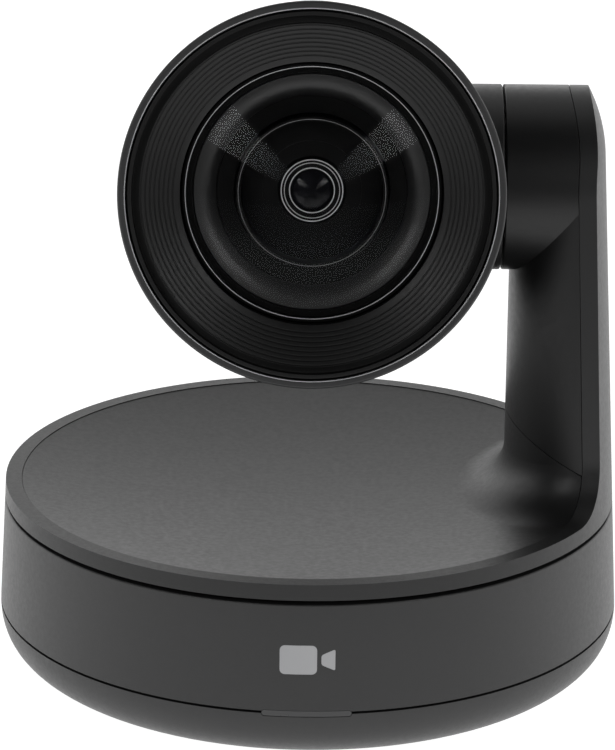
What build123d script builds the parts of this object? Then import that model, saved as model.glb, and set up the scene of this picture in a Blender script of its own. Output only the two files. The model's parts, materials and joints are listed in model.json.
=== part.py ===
from build123d import *
import math
import os

os.makedirs("parts", exist_ok=True)

# All sizes are millimetres and degrees. The origin is on the table under the middle of the
# base, +Z is the pan axis, the lens looks towards -Y and the arm stands on the +X side.

# Base housing
seam_radius = 76.0  # widest circle of the camera, at the lower seam
wall_draft = 3.0  # lean of the base wall and of the arm's outer face
wall = 2.6
foot_gap = 1.5  # the bowl's flat bottom above the table
seam_height = 17.0  # middle of the groove between bowl and wall
seam_groove = 0.6
seam_depth = 1.2
bowl_rise_width = 25.0  # from the flat bottom out to the widest circle
bowl_fullness = 0.68  # 0.55 is an ellipse, 1 is a square corner
bowl_floor = 2.5
wall_top = 43.3
fillet_size = 0.4  # small rounding of moulded edges

# Turning rim, dish and arm
pan_gap = 1.0  # open gap under the turning rim
rim_height = 3.8
shell_wall = 3.9
dish_sag = 5.0
dish_wall = 2.0
dish_seam = 0.12
ledge_inset = 16.0  # inner edge of the ledge inside the widest circle
ledge_wall = 2.0

# Arm
tilt_height = 124.2
boss_radius = 22.2
arm_bottom_half = 24.6  # half width of the arm where its flare starts
flare = 12.5
arm_top_rounding = 34.0
arm_round_rise = 7.3  # the rounding of the arm's outer face starts this much above the pivot
column_inset = 10.5  # middle of the arm's column inside the widest circle
boss_reach = 20.0  # from the column's middle to the arm's inner face at the pivot
column_depth = 17.7
cover_wall = 2.2
cover_seam = 0.15
collar_seam_height = 56.9  # lowest point of the slanted seam
collar_seam_slope = 0.52
boss_hole = 11.0

# Head
rest_tilt = 9.72  # the head looks up by this much when the joints stand at zero
bezel_radius = 44.5
bezel_front = 47.0
bezel_widest = 46.5
bezel_back = 41.0
bezel_opening = 42.8
barrel_front_radius = 43.4
barrel_rear_radius = 40.2
barrel_rear = -23.5
head_rear = -40.0
rear_flat_radius = 24.0
rear_fullness = 0.62
head_wall = 2.2
head_seam = 0.25
collar_gap = 0.4  # running gap between head collar and arm

# Lens
baffle_rim_radius = 42.1
baffle_rim_inner = 41.2
baffle_outer = 39.4
baffle_inner = 30.3
baffle_depth = 4.4
baffle_trough = 3.0
baffle_grooves = 8
groove_first = 31.9
groove_pitch = 1.03
groove_depth = 0.3
groove_width = 0.45
retainer_outer = 29.9
retainer_inner = 28.9
retainer_front = 40.6
glass_radius = 28.7
glass_edge = 1.3
glass_curve = 62.0
glass_thickness = 1.6
cone_outer = 27.4
cone_inner = 22.1
cone_front = 38.2
cone_back = 35.6
tube_wall = 1.9
tube_rear = -22.0
flange_radius = 40.6
flange_front = 34.0
flange_thick = 2.0

# Sliding lens groups
zoom_radius = 17.5
zoom_front = 39.5
zoom_length = 16.5
zoom_glass_radius = 16.4
focus_radius = 12.5
focus_front = -2.0
focus_length = 7.0
lug_length = 5.0
focus_glass_radius = 10.6
iris_radius = 7.3
iris_opening = 4.6
iris_sink = 4.9  # rim of the iris ring behind the front edge of the zoom cell
iris_thick = 1.0
iris_rise = 1.2
rod_radius = 1.0
rod_circle = 19.8
rod_clearance = 0.05

# Pan drive
table_inset = 8.0  # turntable edge inside the widest circle
post_edge = 4.0  # turntable posts inside the turntable edge
table_bottom = 37.0
table_thick = 2.5
spindle_radius = 12.0
spindle_bore = 8.5
chassis_inset = 16.0
chassis_bottom = 26.0
chassis_thick = 3.0
window_circle = 38.0
window_radius = 9.0
bearing_low = 31.0
bearing_width = 5.0
pan_race_outer = 20.0
pan_ball_circle = 16.0
pan_ball = 1.6
gear_module = 0.6
pressure_angle = 25.0
backlash = 0.05  # each tooth flank stands back by this much
pan_gear_teeth = 96
pan_pinion_teeth = 16
pan_gear_width = 4.0
hub_ring = 3.2
motor_radius = 10.0
motor_length = 12.0
motor_shaft = 1.25
shaft_clearance = 0.05

# Tilt drive
shaft_radius = 4.0
shaft_bore = 2.5
bearing_outer = 8.0
tilt_bearing_width = 4.0
tilt_ball_circle = 6.0
tilt_ball = 1.0
frame_inset = 10.5  # frame sheet on the head's side of the column's middle
frame_thick = 2.0
foot_reach = 15.0  # the frame's foot plate, towards the pan axis
foot_screw_inset = 5.0
frame_half_width = 13.0
bearing_tube = 10.5
tilt_gear_teeth = 60
tilt_pinion_teeth = 20
tilt_gear_stand = 3.5  # gear face in front of the frame sheet
tilt_gear_width = 2.5
tilt_motor_length = 8.5
spoke_circle = 11.0
spoke_holes = 5
spoke_hole = 3.8
frame_window_heights = (60.0, 78.0)

# Ports at the back
bay_half_width = 27.0
bay_low = 19.5
bay_high = 34.0
bay_corner = 3.0
bay_depth = 13.0
bay_wall = 1.5
bay_clearance = 0.15
port_board_top = 22.0
board_thick = 1.6
port_clearance = 0.2

# Circuit boards
board_width = 98.0
board_depth = 62.0
board_corner = 4.0
board_post_inset = (4.0, 4.0)  # posts inside the corners of the main board
chip_size = 12.0
small_chip = (7.2, 9.6)
chip_height = 1.4
chip_place = (8.0, 4.0)
small_chip_places = ((28.0, -10.0), (28.0, 12.0), (-8.0, -22.0))
port_board_width = 54.0
port_board_depth = 22.7
port_post_width = 46.0  # between the two posts of the port board
port_post_inset = 17.0  # posts in front of the bay floor
sensor_window = (17.0, 13.0)
sensor_board_size = (38.0, 34.0)
sensor_board_corner = 2.0
sensor_size = (16.0, 12.0)
sensor_height = 1.2
sensor_glass_size = (14.0, 10.0)
sensor_glass_thick = 0.6

# Small parts
foot_inset = 1.0  # foot ring inside the edge of the flat bottom
foot_width = 7.0
foot_sink = 1.0
insert_radius = 5.0
insert_length = 8.0
thread_radius = 3.175
light_width = 20.8
light_height = 1.35
light_clearance = 0.12
light_depth = 5.0
post_radius = 4.0
post_inset = 6.0  # chassis posts inside the chassis edge
boss_inset = 10.0  # wall bosses inside the widest circle
boss_size = 3.6
rib_length = 8.4
rib_width = 2.0
screw_clearance = 0.05

# Worked out from the sizes above
draft = math.tan(math.radians(wall_draft))
rim_bottom = wall_top + pan_gap
rim_top = rim_bottom + rim_height
table_top = table_bottom + table_thick
chassis_top = chassis_bottom + chassis_thick
seam_low = seam_height - seam_groove / 2
seam_high = seam_height + seam_groove / 2
floor_top = foot_gap + bowl_floor
bowl_bottom_radius = seam_radius - bowl_rise_width
foot_outer_radius = bowl_bottom_radius - foot_inset
foot_inner_radius = foot_outer_radius - foot_width
chassis_radius = seam_radius - chassis_inset
post_circle = chassis_radius - post_inset
boss_circle = seam_radius - boss_inset
bay_floor = seam_radius - bay_depth
ledge_inner_radius = seam_radius - ledge_inset
table_radius = seam_radius - table_inset
column_middle = seam_radius - column_inset
boss_face = column_middle - boss_reach
collar_face = boss_face - collar_gap
frame_face = column_middle - frame_inset
tilt_gear_face = frame_face - tilt_gear_stand


def wall_radius(height):
    return seam_radius - draft * (height - seam_height)


dish_radius = wall_radius(rim_top) - shell_wall
pan_centres = gear_module * (pan_gear_teeth + pan_pinion_teeth) / 2
tilt_centres = gear_module * (tilt_gear_teeth + tilt_pinion_teeth) / 2

tilt_centre = (0, 0, tilt_height)
lean_sin = math.sin(math.radians(rest_tilt))
lean_cos = math.cos(math.radians(rest_tilt))
optical = Plane(origin=tilt_centre, x_dir=(1, 0, 0), z_dir=(0, -lean_cos, lean_sin))
optical_axis = Axis(tilt_centre, (0, -lean_cos, lean_sin))
head_section = Plane(origin=tilt_centre, x_dir=(1, 0, 0), z_dir=(0, -lean_sin, -lean_cos))
tilt_axis = Axis(tilt_centre, (1, 0, 0))
# radius runs along +Y here and the position along the tilt axis along +X
tilt_section = Plane(origin=tilt_centre, x_dir=(1, 0, 0), z_dir=(0, 0, 1))


def across_tilt(position):
    """Plane square to the tilt axis, with its own x pointing down."""
    return Plane(origin=(position, 0, tilt_height), x_dir=(0, 0, -1), z_dir=(1, 0, 0))


def turn(outline, section=Plane.XZ, axis=Axis.Z, mode=Mode.ADD):
    """Revolve a closed outline of (radius, height) points in the current part."""
    with BuildSketch(section) as profile:
        with BuildLine():
            Polyline(*outline, close=True)
        make_face()
    revolve(profile.sketch, axis=axis, mode=mode)


def ring(inner, outer, low, high):
    """Outline of a plain ring."""
    return [(inner, low), (outer, low), (outer, high), (inner, high)]


def turn_head(outline, mode=Mode.ADD):
    turn(outline, head_section, optical_axis, mode)


def turn_tilt(inner, outer, low, high, mode=Mode.ADD):
    """Ring about the tilt axis between two places on it."""
    outline = [(low, inner), (high, inner), (high, outer), (low, outer)]
    turn(outline, tilt_section, tilt_axis, mode)


def post(plane, radius, height, mode=Mode.ADD):
    """Round post or hole that starts on a plane."""
    with BuildSketch(plane) as section:
        Circle(radius)
    extrude(section.sketch, amount=height, mode=mode)


def block(low, high, mode=Mode.ADD):
    """Rectangular block between its lowest and highest corners."""
    size = [b - a for a, b in zip(low, high)]
    middle = tuple((a + b) / 2 for a, b in zip(low, high))
    with Locations(middle):
        Box(*size, mode=mode)


def save(built, name):
    built.part.label = name
    export_step(built.part, f"parts/{name}.step")


def screws(places, head_radius, head_height, shank_radius, length, drive_radius):
    """Screws with round heads; each plane lies under a head and faces out of it."""
    with BuildPart() as group:
        for place in places:
            post(place, head_radius, head_height)
            post(place, shank_radius, -length)
            with BuildSketch(place.offset(head_height)) as drive:
                RegularPolygon(drive_radius, 6)
            extrude(drive.sketch, amount=-head_height * 0.6, mode=Mode.SUBTRACT)
    return group


def gear_outline(teeth):
    """Points of an involute spur gear whose first tooth points along +x."""
    pressure = math.radians(pressure_angle)
    pitch = gear_module * teeth / 2
    base = pitch * math.cos(pressure)
    root = pitch - 1.25 * gear_module
    tip = pitch + gear_module
    flank_steps = 4
    start = max(base, root)
    radii = [start + (tip - start) * i / flank_steps for i in range(flank_steps + 1)]

    def half_angle(radius):
        roll = math.acos(min(1.0, base / radius))
        full = math.pi / (2 * teeth) + math.tan(pressure) - pressure
        return full - (math.tan(roll) - roll) - backlash / pitch

    flank = [(radius, half_angle(radius)) for radius in radii]
    if root < base:
        flank.insert(0, (root, half_angle(base)))
    points = []
    for tooth in range(teeth):
        middle = 2 * math.pi * tooth / teeth
        side = [(r, middle - a) for r, a in flank] + [(r, middle + a) for r, a in reversed(flank)]
        points += [(r * math.cos(a), r * math.sin(a)) for r, a in side]
    return points


def gear(plane, teeth, bore, width, turn_by=0.0):
    """Spur gear with a round bore in the current part."""
    with BuildSketch(plane) as section:
        with BuildLine(Plane.XY.rotated((0, 0, turn_by))):
            Polyline(*gear_outline(teeth), close=True)
        make_face()
        Circle(bore, mode=Mode.SUBTRACT)
    extrude(section.sketch, amount=width)


def polar_planes(radius, height, angles, facing=1):
    """Horizontal planes on a circle about the pan axis."""
    return [
        Plane(
            origin=(
                radius * math.cos(math.radians(angle)),
                radius * math.sin(math.radians(angle)),
                height,
            ),
            z_dir=(0, 0, facing),
        )
        for angle in angles
    ]


def radial_planes(height, angles):
    """Horizontal planes at the pan axis whose own x points outwards at each angle."""
    return [
        Plane(
            origin=(0, 0, height),
            x_dir=(math.cos(math.radians(angle)), math.sin(math.radians(angle)), 0),
            z_dir=(0, 0, 1),
        )
        for angle in angles
    ]


# Bowl of the base

chassis_angles = [45, 135, 225, 315]
wall_boss_angles = [18, 162, 198, 342]
board_post_x = board_width / 2 - board_post_inset[0]
board_post_y = board_depth / 2 - board_post_inset[1]
board_posts = [(x, y) for y in (-board_post_y, board_post_y) for x in (-board_post_x, board_post_x)]
board_post_radius = 3.0
main_board_low = 11.0
port_posts = [(side * port_post_width / 2, bay_floor - port_post_inset) for side in (-1, 1)]
screw_radius = 1.5
screw_head = 2.75
screw_head_height = 1.8
bowl_screw_head = 10.0  # height of the seat of the screws under the bowl
wall_boss_top = 32.0
wall_screw_length = 16.0
vent_count = 18
vent_radius = 32.0
vent_length = 9.0
vent_width = 1.6


def bowl_curve(outer, top, bottom_radius, bottom):
    """Quarter curve from the bowl's top edge down to its flat bottom."""
    drop = top - bottom
    reach = outer - bottom_radius
    return Bezier(
        (outer, top),
        (outer, top - bowl_fullness * drop),
        (bottom_radius + bowl_fullness * reach, bottom),
        (bottom_radius, bottom),
    )


def light_slot(grow, mode):
    """Pill-shaped bar through the front of the lower seam."""
    with BuildSketch(Plane.XZ.offset(seam_radius - light_depth)) as pill:
        with Locations((0, seam_height - 0.2)):
            SlotOverall(light_width + 2 * grow, light_height + 2 * grow)
    extrude(pill.sketch, amount=light_depth + 2, mode=mode)


with BuildPart() as base_bowl:
    with BuildSketch(Plane.XZ):
        with BuildLine():
            outer_curve = bowl_curve(seam_radius, seam_low, bowl_bottom_radius, foot_gap)
            Line(outer_curve @ 1, (0, foot_gap))
            Line((0, foot_gap), (0, floor_top))
            inner_curve = bowl_curve(
                seam_radius - wall, seam_low, bowl_bottom_radius - wall, floor_top
            )
            Line((0, floor_top), inner_curve @ 1)
            Line(inner_curve @ 0, outer_curve @ 0)
        make_face()
    revolve(axis=Axis.Z)
    for place in polar_planes(post_circle, floor_top - 1, chassis_angles):
        post(place, post_radius, chassis_bottom - floor_top + 1)
    for x, y in board_posts:
        post(Plane(origin=(x, y, floor_top - 1)), board_post_radius, main_board_low - floor_top + 1)
    for x, y in port_posts:
        post_top = port_board_top - board_thick
        post(Plane(origin=(x, y, floor_top - 1)), board_post_radius, post_top - floor_top + 1)
    for place in polar_planes(boss_circle, seam_low, wall_boss_angles):
        post(place, boss_size, -(seam_low - 6.5))
    post(Plane.XY.offset(floor_top - 1), insert_radius + wall, insert_length - bowl_floor + 2)
    # seat of the tripod insert
    post(Plane.XY.offset(foot_gap), insert_radius, insert_length, Mode.SUBTRACT)
    # groove of the foot ring
    turn(
        ring(foot_inner_radius, foot_outer_radius, foot_gap, foot_gap + foot_sink),
        mode=Mode.SUBTRACT,
    )
    # screw holes
    for place in polar_planes(boss_circle, 0, wall_boss_angles):
        post(place, screw_radius + screw_clearance, seam_height, Mode.SUBTRACT)
        post(place, screw_head + 0.3, bowl_screw_head, Mode.SUBTRACT)
    for place in polar_planes(post_circle, chassis_bottom, chassis_angles):
        post(place, screw_radius + screw_clearance, -10, Mode.SUBTRACT)
    # air slots round the tripod insert
    with BuildSketch(Plane.XY.offset(foot_gap)) as vents:
        with PolarLocations(vent_radius, vent_count):
            SlotOverall(vent_length, vent_width)
    extrude(vents.sketch, amount=bowl_floor, mode=Mode.SUBTRACT)
    light_slot(light_clearance, Mode.SUBTRACT)
save(base_bowl, "base_bowl")


# Standing wall of the base

lock_angle = 52.0
lock_height = 26.0
lock_width = 7.0
lock_slot_height = 3.0


def lock_plane(radius):
    """Upright plane on the base wall where the security slot is."""
    angle = math.radians(lock_angle)
    outwards = (math.cos(angle), math.sin(angle), 0)
    origin = (radius * outwards[0], radius * outwards[1], lock_height)
    return Plane(origin=origin, x_dir=(-outwards[1], outwards[0], 0), z_dir=outwards)


def bay_section(grow):
    """Rounded outline of the port bay, seen from the back."""
    with BuildSketch(Plane.XZ.offset(-bay_floor)) as section:
        with Locations((0, (bay_low + bay_high) / 2)):
            RectangleRounded(
                2 * (bay_half_width + grow), bay_high - bay_low + 2 * grow, bay_corner + grow
            )
    return section.sketch


with BuildPart() as base_wall:
    turn(
        [
            (wall_radius(seam_low) - wall, seam_low),
            (wall_radius(seam_low) - seam_depth, seam_low),
            (wall_radius(seam_high) - seam_depth, seam_high),
            (wall_radius(seam_high), seam_high),
            (wall_radius(wall_top), wall_top),
            (wall_radius(wall_top) - wall, wall_top),
        ]
    )
    top_edge = base_wall.edges().filter_by(GeomType.CIRCLE).group_by(Axis.Z)[-1]
    fillet(top_edge.sort_by(SortBy.RADIUS)[-1], fillet_size)
    for place in polar_planes(boss_circle, seam_low, wall_boss_angles):
        post(place, boss_size, wall_boss_top - seam_low)
    for place in radial_planes(seam_low, wall_boss_angles):
        with BuildSketch(place) as rib:
            with Locations((boss_circle, 0)):
                Rectangle(rib_length, rib_width, align=(Align.MIN, Align.CENTER))
        extrude(rib.sketch, amount=wall_boss_top - seam_low)
    for place in polar_planes(boss_circle, seam_low, wall_boss_angles):
        post(place, screw_radius + screw_clearance, wall_boss_top - seam_low - 2, Mode.SUBTRACT)
    extrude(bay_section(0), amount=-(seam_radius - bay_floor), mode=Mode.SUBTRACT)
    with BuildSketch(lock_plane(seam_radius - wall - 2)) as lock_cut:
        SlotOverall(lock_width, lock_slot_height)
    extrude(lock_cut.sketch, amount=wall + 4, mode=Mode.SUBTRACT)
    light_slot(light_clearance, Mode.SUBTRACT)
save(base_wall, "base_wall")

with BuildPart() as status_light:
    light_slot(0, Mode.ADD)
    turn(
        [
            (0, seam_low - 2),
            (seam_radius - 0.05, seam_low - 2),
            (wall_radius(seam_height + 2) - 0.05, seam_height + 2),
            (0, seam_height + 2),
        ],
        mode=Mode.INTERSECT,
    )
save(status_light, "status_light")

with BuildPart() as foot_ring:
    turn(ring(foot_inner_radius, foot_outer_radius, 0, foot_gap + foot_sink))
    fillet(foot_ring.edges().group_by(Axis.Z)[0], foot_gap / 3)
save(foot_ring, "foot_ring")

with BuildPart() as tripod_insert:
    post(Plane.XY.offset(foot_gap), insert_radius, insert_length)
    post(Plane.XY.offset(foot_gap), thread_radius, insert_length, Mode.SUBTRACT)
    chamfer(tripod_insert.edges().group_by(Axis.Z)[0].sort_by(SortBy.RADIUS)[0], 0.4)
save(tripod_insert, "tripod_insert")

base_screws = screws(
    polar_planes(boss_circle, bowl_screw_head, wall_boss_angles, facing=-1),
    screw_head,
    screw_head_height,
    screw_radius,
    wall_screw_length,
    1.2,
)
save(base_screws, "base_screws")

lock_plate_size = 14.0
lock_plate_thick = 1.0

with BuildPart() as lock_plate:
    inner_face = wall_radius(lock_height + lock_plate_size / 2) - wall - 1.2
    with BuildSketch(lock_plane(inner_face - lock_plate_thick)) as lock_sheet:
        RectangleRounded(lock_plate_size, lock_plate_size * 0.7, 1.5)
        SlotOverall(lock_width, lock_slot_height, mode=Mode.SUBTRACT)
    extrude(lock_sheet.sketch, amount=lock_plate_thick)
save(lock_plate, "lock_plate")

# Port bay and its sockets

socket_mouth = bay_floor + 2.0
power_x = -17.0
video_x = 0.0
usb_x = 16.5
power_size = (9.0, 12.0, 10.0)
video_size = (15.0, 11.5, 6.0)
usb_size = (9.0, 7.5, 3.3)
sockets = [(power_x, power_size), (video_x, video_size), (usb_x, usb_size)]

with BuildPart() as port_bay:
    extrude(bay_section(-bay_clearance), amount=-(seam_radius - bay_floor))
    with BuildSketch(Plane.XZ.offset(-socket_mouth)) as hollow:
        with Locations((0, (bay_low + bay_high) / 2)):
            RectangleRounded(
                2 * (bay_half_width - bay_wall), bay_high - bay_low - 2 * bay_wall, bay_corner / 2
            )
    extrude(hollow.sketch, amount=-seam_radius, mode=Mode.SUBTRACT)
    turn(
        [
            (0, bay_low - 1),
            (wall_radius(bay_low - 1) - 0.3, bay_low - 1),
            (wall_radius(bay_high + 1) - 0.3, bay_high + 1),
            (0, bay_high + 1),
        ],
        mode=Mode.INTERSECT,
    )
    for x, size in sockets:
        half = size[0] / 2 + port_clearance
        block(
            (x - half, bay_floor - 1, port_board_top - port_clearance),
            (x + half, socket_mouth + 1, port_board_top + size[2] + port_clearance),
            Mode.SUBTRACT,
        )
save(port_bay, "port_bay")

jack_radius = 3.2
jack_pin = 1.0

with BuildPart() as power_socket:
    block(
        (power_x - power_size[0] / 2, socket_mouth - power_size[1], port_board_top),
        (power_x + power_size[0] / 2, socket_mouth, port_board_top + power_size[2]),
    )
    jack = Plane(
        origin=(power_x, socket_mouth, port_board_top + power_size[2] / 2), z_dir=(0, 1, 0)
    )
    post(jack, jack_radius, -(power_size[1] - 2), Mode.SUBTRACT)
    post(jack.offset(-1), jack_pin, -(power_size[1] - 2))
save(power_socket, "power_socket")


def flat_socket(x, size, lip, tongue):
    """Flat metal socket with a tongue inside its mouth."""
    low = (x - size[0] / 2, socket_mouth - size[1], port_board_top)
    high = (x + size[0] / 2, socket_mouth, port_board_top + size[2])
    with BuildPart() as built:
        block(low, high)
        fillet(built.edges().filter_by(Axis.Y), size[2] * 0.2)
        block(
            (low[0] + lip, low[1] + 2, low[2] + lip),
            (high[0] - lip, high[1], high[2] - lip),
            Mode.SUBTRACT,
        )
        middle = (low[2] + high[2]) / 2
        block(
            (low[0] + 3 * lip, low[1] + 1, middle - tongue / 2),
            (high[0] - 3 * lip, high[1] - 1, middle + tongue / 2),
        )
    return built


video_socket = flat_socket(video_x, video_size, 0.5, 1.6)
save(video_socket, "video_socket")
usb_socket = flat_socket(usb_x, usb_size, 0.35, 0.7)
save(usb_socket, "usb_socket")

with BuildPart() as port_board:
    port_board_back = bay_floor - 0.3
    block(
        (-port_board_width / 2, port_board_back - port_board_depth, port_board_top - board_thick),
        (port_board_width / 2, port_board_back, port_board_top),
    )
    for x, y in port_posts:
        hole = Plane(origin=(x, y, port_board_top))
        post(hole, screw_radius + screw_clearance, -board_thick, Mode.SUBTRACT)
save(port_board, "port_board")

with BuildPart() as main_board:
    with BuildSketch(Plane.XY.offset(main_board_low)):
        RectangleRounded(board_width, board_depth, board_corner)
        with Locations(*board_posts):
            Circle(screw_radius + screw_clearance, mode=Mode.SUBTRACT)
    extrude(amount=board_thick)
    with BuildSketch(Plane.XY.offset(main_board_low + board_thick)):
        with Locations(chip_place):
            Rectangle(chip_size, chip_size)
        with Locations(*small_chip_places):
            Rectangle(*small_chip)
    extrude(amount=chip_height)
save(main_board, "main_board")

board_screw_places = [Plane(origin=(x, y, main_board_low + board_thick)) for x, y in board_posts]
board_screw_places += [Plane(origin=(x, y, port_board_top)) for x, y in port_posts]

board_screws = screws(
    board_screw_places, screw_head, screw_head_height, screw_radius, board_thick, 1.2
)
save(board_screws, "board_screws")

ballast_inner = 20.0
ballast_outer = 27.0
ballast_height = 5.0

with BuildPart() as ballast_ring:
    turn(ring(ballast_inner, ballast_outer, floor_top, floor_top + ballast_height))
save(ballast_ring, "ballast_ring")

# Chassis, pan bearing and pan drive

spindle_top = 40.2
clip_low = bearing_low + bearing_width
clip_thick = 0.8
clip_radius = 14.2
clip_sink = 0.6
race_seat = 14.2
motor_place = Plane(origin=(-pan_centres, 0, chassis_bottom))
motor_boss = 4.0
table_hole = 16.0

with BuildPart() as base_chassis:
    post(Plane.XY.offset(chassis_bottom), chassis_radius, chassis_thick)
    post(Plane.XY.offset(chassis_top), race_seat, bearing_low - chassis_top)
    post(Plane.XY.offset(bearing_low), spindle_radius, spindle_top - bearing_low)
    post(Plane.XY.offset(chassis_bottom), spindle_bore, spindle_top, Mode.SUBTRACT)
    turn(
        ring(spindle_radius - clip_sink, spindle_radius + 1, clip_low, clip_low + clip_thick),
        mode=Mode.SUBTRACT,
    )
    for place in polar_planes(post_circle, chassis_bottom, chassis_angles):
        post(place, screw_radius + screw_clearance, chassis_thick, Mode.SUBTRACT)
    post(motor_place, motor_boss + port_clearance, chassis_thick, Mode.SUBTRACT)
    # windows that lighten the plate
    with BuildSketch(Plane.XY.offset(chassis_bottom)) as windows:
        with PolarLocations(window_circle, 3, start_angle=-60, angular_range=120):
            Circle(window_radius)
    extrude(windows.sketch, amount=chassis_thick, mode=Mode.SUBTRACT)
    # room for the sockets
    block(
        (-bay_half_width - 2, post_circle - 4, chassis_bottom),
        (bay_half_width + 2, chassis_radius + 1, chassis_top),
        Mode.SUBTRACT,
    )
save(base_chassis, "base_chassis")

chassis_screws = screws(
    polar_planes(post_circle, chassis_top, chassis_angles),
    screw_head,
    screw_head_height,
    screw_radius,
    10,
    1.2,
)
save(chassis_screws, "chassis_screws")


def race(inner, outer, low, high, groove_circle, ball, section, axis, swap):
    """Bearing race: a ring with a ball groove; swap puts the radius on the plane's y."""
    with BuildPart() as built:
        outline = ring(inner, outer, low, high)
        groove = (groove_circle, (low + high) / 2)
        if swap:
            outline = [(b, a) for a, b in outline]
            groove = groove[::-1]
        turn(outline, section, axis)
        with BuildSketch(section) as cut:
            with Locations(groove):
                Circle(ball)
        revolve(cut.sketch, axis=axis, mode=Mode.SUBTRACT)
    return built


ball_play = 0.05
shoulder = 1.0  # half of the gap between a bearing's two races
ball_count = 14
bearing_middle = bearing_low + bearing_width / 2

pan_race_inner = race(
    spindle_radius,
    pan_ball_circle - shoulder,
    bearing_low,
    bearing_low + bearing_width,
    pan_ball_circle,
    pan_ball + ball_play,
    Plane.XZ,
    Axis.Z,
    False,
)
save(pan_race_inner, "pan_race_inner")
pan_race = race(
    pan_ball_circle + shoulder,
    pan_race_outer,
    bearing_low,
    bearing_low + bearing_width,
    pan_ball_circle,
    pan_ball + ball_play,
    Plane.XZ,
    Axis.Z,
    False,
)
save(pan_race, "pan_race_outer")

with BuildPart() as pan_balls:
    with PolarLocations(pan_ball_circle, ball_count):
        with Locations((0, 0, bearing_middle)):
            Sphere(pan_ball)
save(pan_balls, "pan_balls")

with BuildPart() as spindle_clip:
    turn(ring(spindle_radius - clip_sink, clip_radius, clip_low, clip_low + clip_thick))
    block((0, -2, clip_low - 1), (clip_radius + 1, 2, clip_low + 2), Mode.SUBTRACT)
save(spindle_clip, "spindle_clip")

motor_shaft_low = chassis_bottom - 8
motor_shaft_top = table_bottom - 0.4

with BuildPart() as pan_motor:
    post(motor_place, motor_radius, -motor_length)
    fillet(pan_motor.edges(), 0.8)
    post(motor_place, motor_boss, chassis_thick - 0.5)
    with BuildSketch(motor_place) as ears:
        with Locations((0, 0)):
            SlotOverall(2 * motor_radius + 7, 6, rotation=90)
        Circle(motor_boss, mode=Mode.SUBTRACT)
    extrude(ears.sketch, amount=-1)
    bore = Plane(origin=(-pan_centres, 0, motor_shaft_low - 0.2))
    post(bore, motor_shaft + shaft_clearance, motor_length + 8, Mode.SUBTRACT)
save(pan_motor, "pan_motor")

pinion_low = table_bottom - pan_gear_width - 0.5
with BuildPart() as pan_pinion:
    pinion_place = Plane(origin=(-pan_centres, 0, pinion_low))
    gear(pinion_place, pan_pinion_teeth, motor_shaft / 2, pan_gear_width, 180 / pan_pinion_teeth)
    shaft_place = Plane(origin=(-pan_centres, 0, motor_shaft_low))
    post(shaft_place, motor_shaft, motor_shaft_top - motor_shaft_low)
save(pan_pinion, "pan_pinion")

# Turntable

ledge_bottom = rim_bottom - ledge_wall + 0.3
post_ring = table_radius - post_edge
table_post = 3.0
table_posts = [0, 60, 120, 180, 240, 300]
gear_ring = pan_race_outer + hub_ring
gear_screw_circle = gear_ring + 2.2
gear_screw_angles = [30, 150, 270]
small_screw = 1.0
small_head = 1.9
foot_start = frame_face - foot_reach
foot_screw_x = foot_start + foot_screw_inset
foot_screw_y = 8.0
foot_plate_thick = 2.0
table_window = 11.0
table_window_circle = 44.0

with BuildPart() as turntable:
    turn(ring(table_hole, table_radius, table_bottom, table_top))
    turn(ring(pan_race_outer, gear_ring, bearing_low, table_bottom))
    turn(ring(pan_race_outer - 2, pan_race_outer + 1, clip_low, table_bottom))
    for place in polar_planes(post_ring, table_top, table_posts):
        post(place, table_post, ledge_bottom - table_top)
    for place in polar_planes(post_ring, table_bottom, table_posts):
        post(place, small_screw + screw_clearance, ledge_bottom, Mode.SUBTRACT)
        post(place, small_head + 0.2, 1.6, Mode.SUBTRACT)
    for place in polar_planes(gear_screw_circle, table_bottom, gear_screw_angles):
        post(place, small_screw + screw_clearance, table_thick, Mode.SUBTRACT)
    for y in (-foot_screw_y, foot_screw_y):
        hole = Plane(origin=(foot_screw_x, y, table_bottom))
        post(hole, screw_radius + screw_clearance, table_thick, Mode.SUBTRACT)
    for place in polar_planes(table_window_circle, table_bottom, [70, 110, 150, 210, 250, 290]):
        post(place, table_window, table_thick, Mode.SUBTRACT)
save(turntable, "turntable")

gear_screw_depth = 3.0
with BuildPart() as pan_gear:
    gear(Plane.XY.offset(table_bottom - pan_gear_width), pan_gear_teeth, gear_ring, pan_gear_width)
    for place in polar_planes(gear_screw_circle, table_bottom, gear_screw_angles):
        post(place, small_screw + screw_clearance, -gear_screw_depth - 0.5, Mode.SUBTRACT)
save(pan_gear, "pan_gear")

gear_screws = screws(
    polar_planes(gear_screw_circle, table_top, gear_screw_angles),
    small_head,
    1.2,
    small_screw,
    table_thick + gear_screw_depth,
    0.8,
)
save(gear_screws, "gear_screws")

rim_screws = screws(
    polar_planes(post_ring, table_bottom + 1.6, table_posts, facing=-1),
    small_head,
    1.2,
    small_screw,
    ledge_bottom - table_bottom - 1.6 + 1.4,
    0.8,
)
save(rim_screws, "rim_screws")

# Turning shell: the rim and the arm's outer face in one moulding


def add_arm_blank(inset, mode=Mode.ADD):
    """Tombstone block of the arm, with its flares at the rim, cut out along +X."""
    top = boss_radius - inset
    foot = arm_bottom_half - inset
    radius = flare + inset
    flare_height = rim_top + flare
    with BuildSketch(Plane.YZ) as section:
        with BuildLine():
            Line((-foot - radius, rim_bottom), (foot + radius, rim_bottom))
            Line((foot + radius, rim_bottom), (foot + radius, rim_top - inset))
            RadiusArc((foot + radius, rim_top - inset), (foot, flare_height), radius)
            Line((foot, flare_height), (top, tilt_height))
            RadiusArc((top, tilt_height), (-top, tilt_height), -top)
            Line((-top, tilt_height), (-foot, flare_height))
            RadiusArc((-foot, flare_height), (-foot - radius, rim_top - inset), radius)
            Line((-foot - radius, rim_top - inset), (-foot - radius, rim_bottom))
        make_face()
    extrude(section.sketch, amount=seam_radius + 5, mode=mode)


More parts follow.
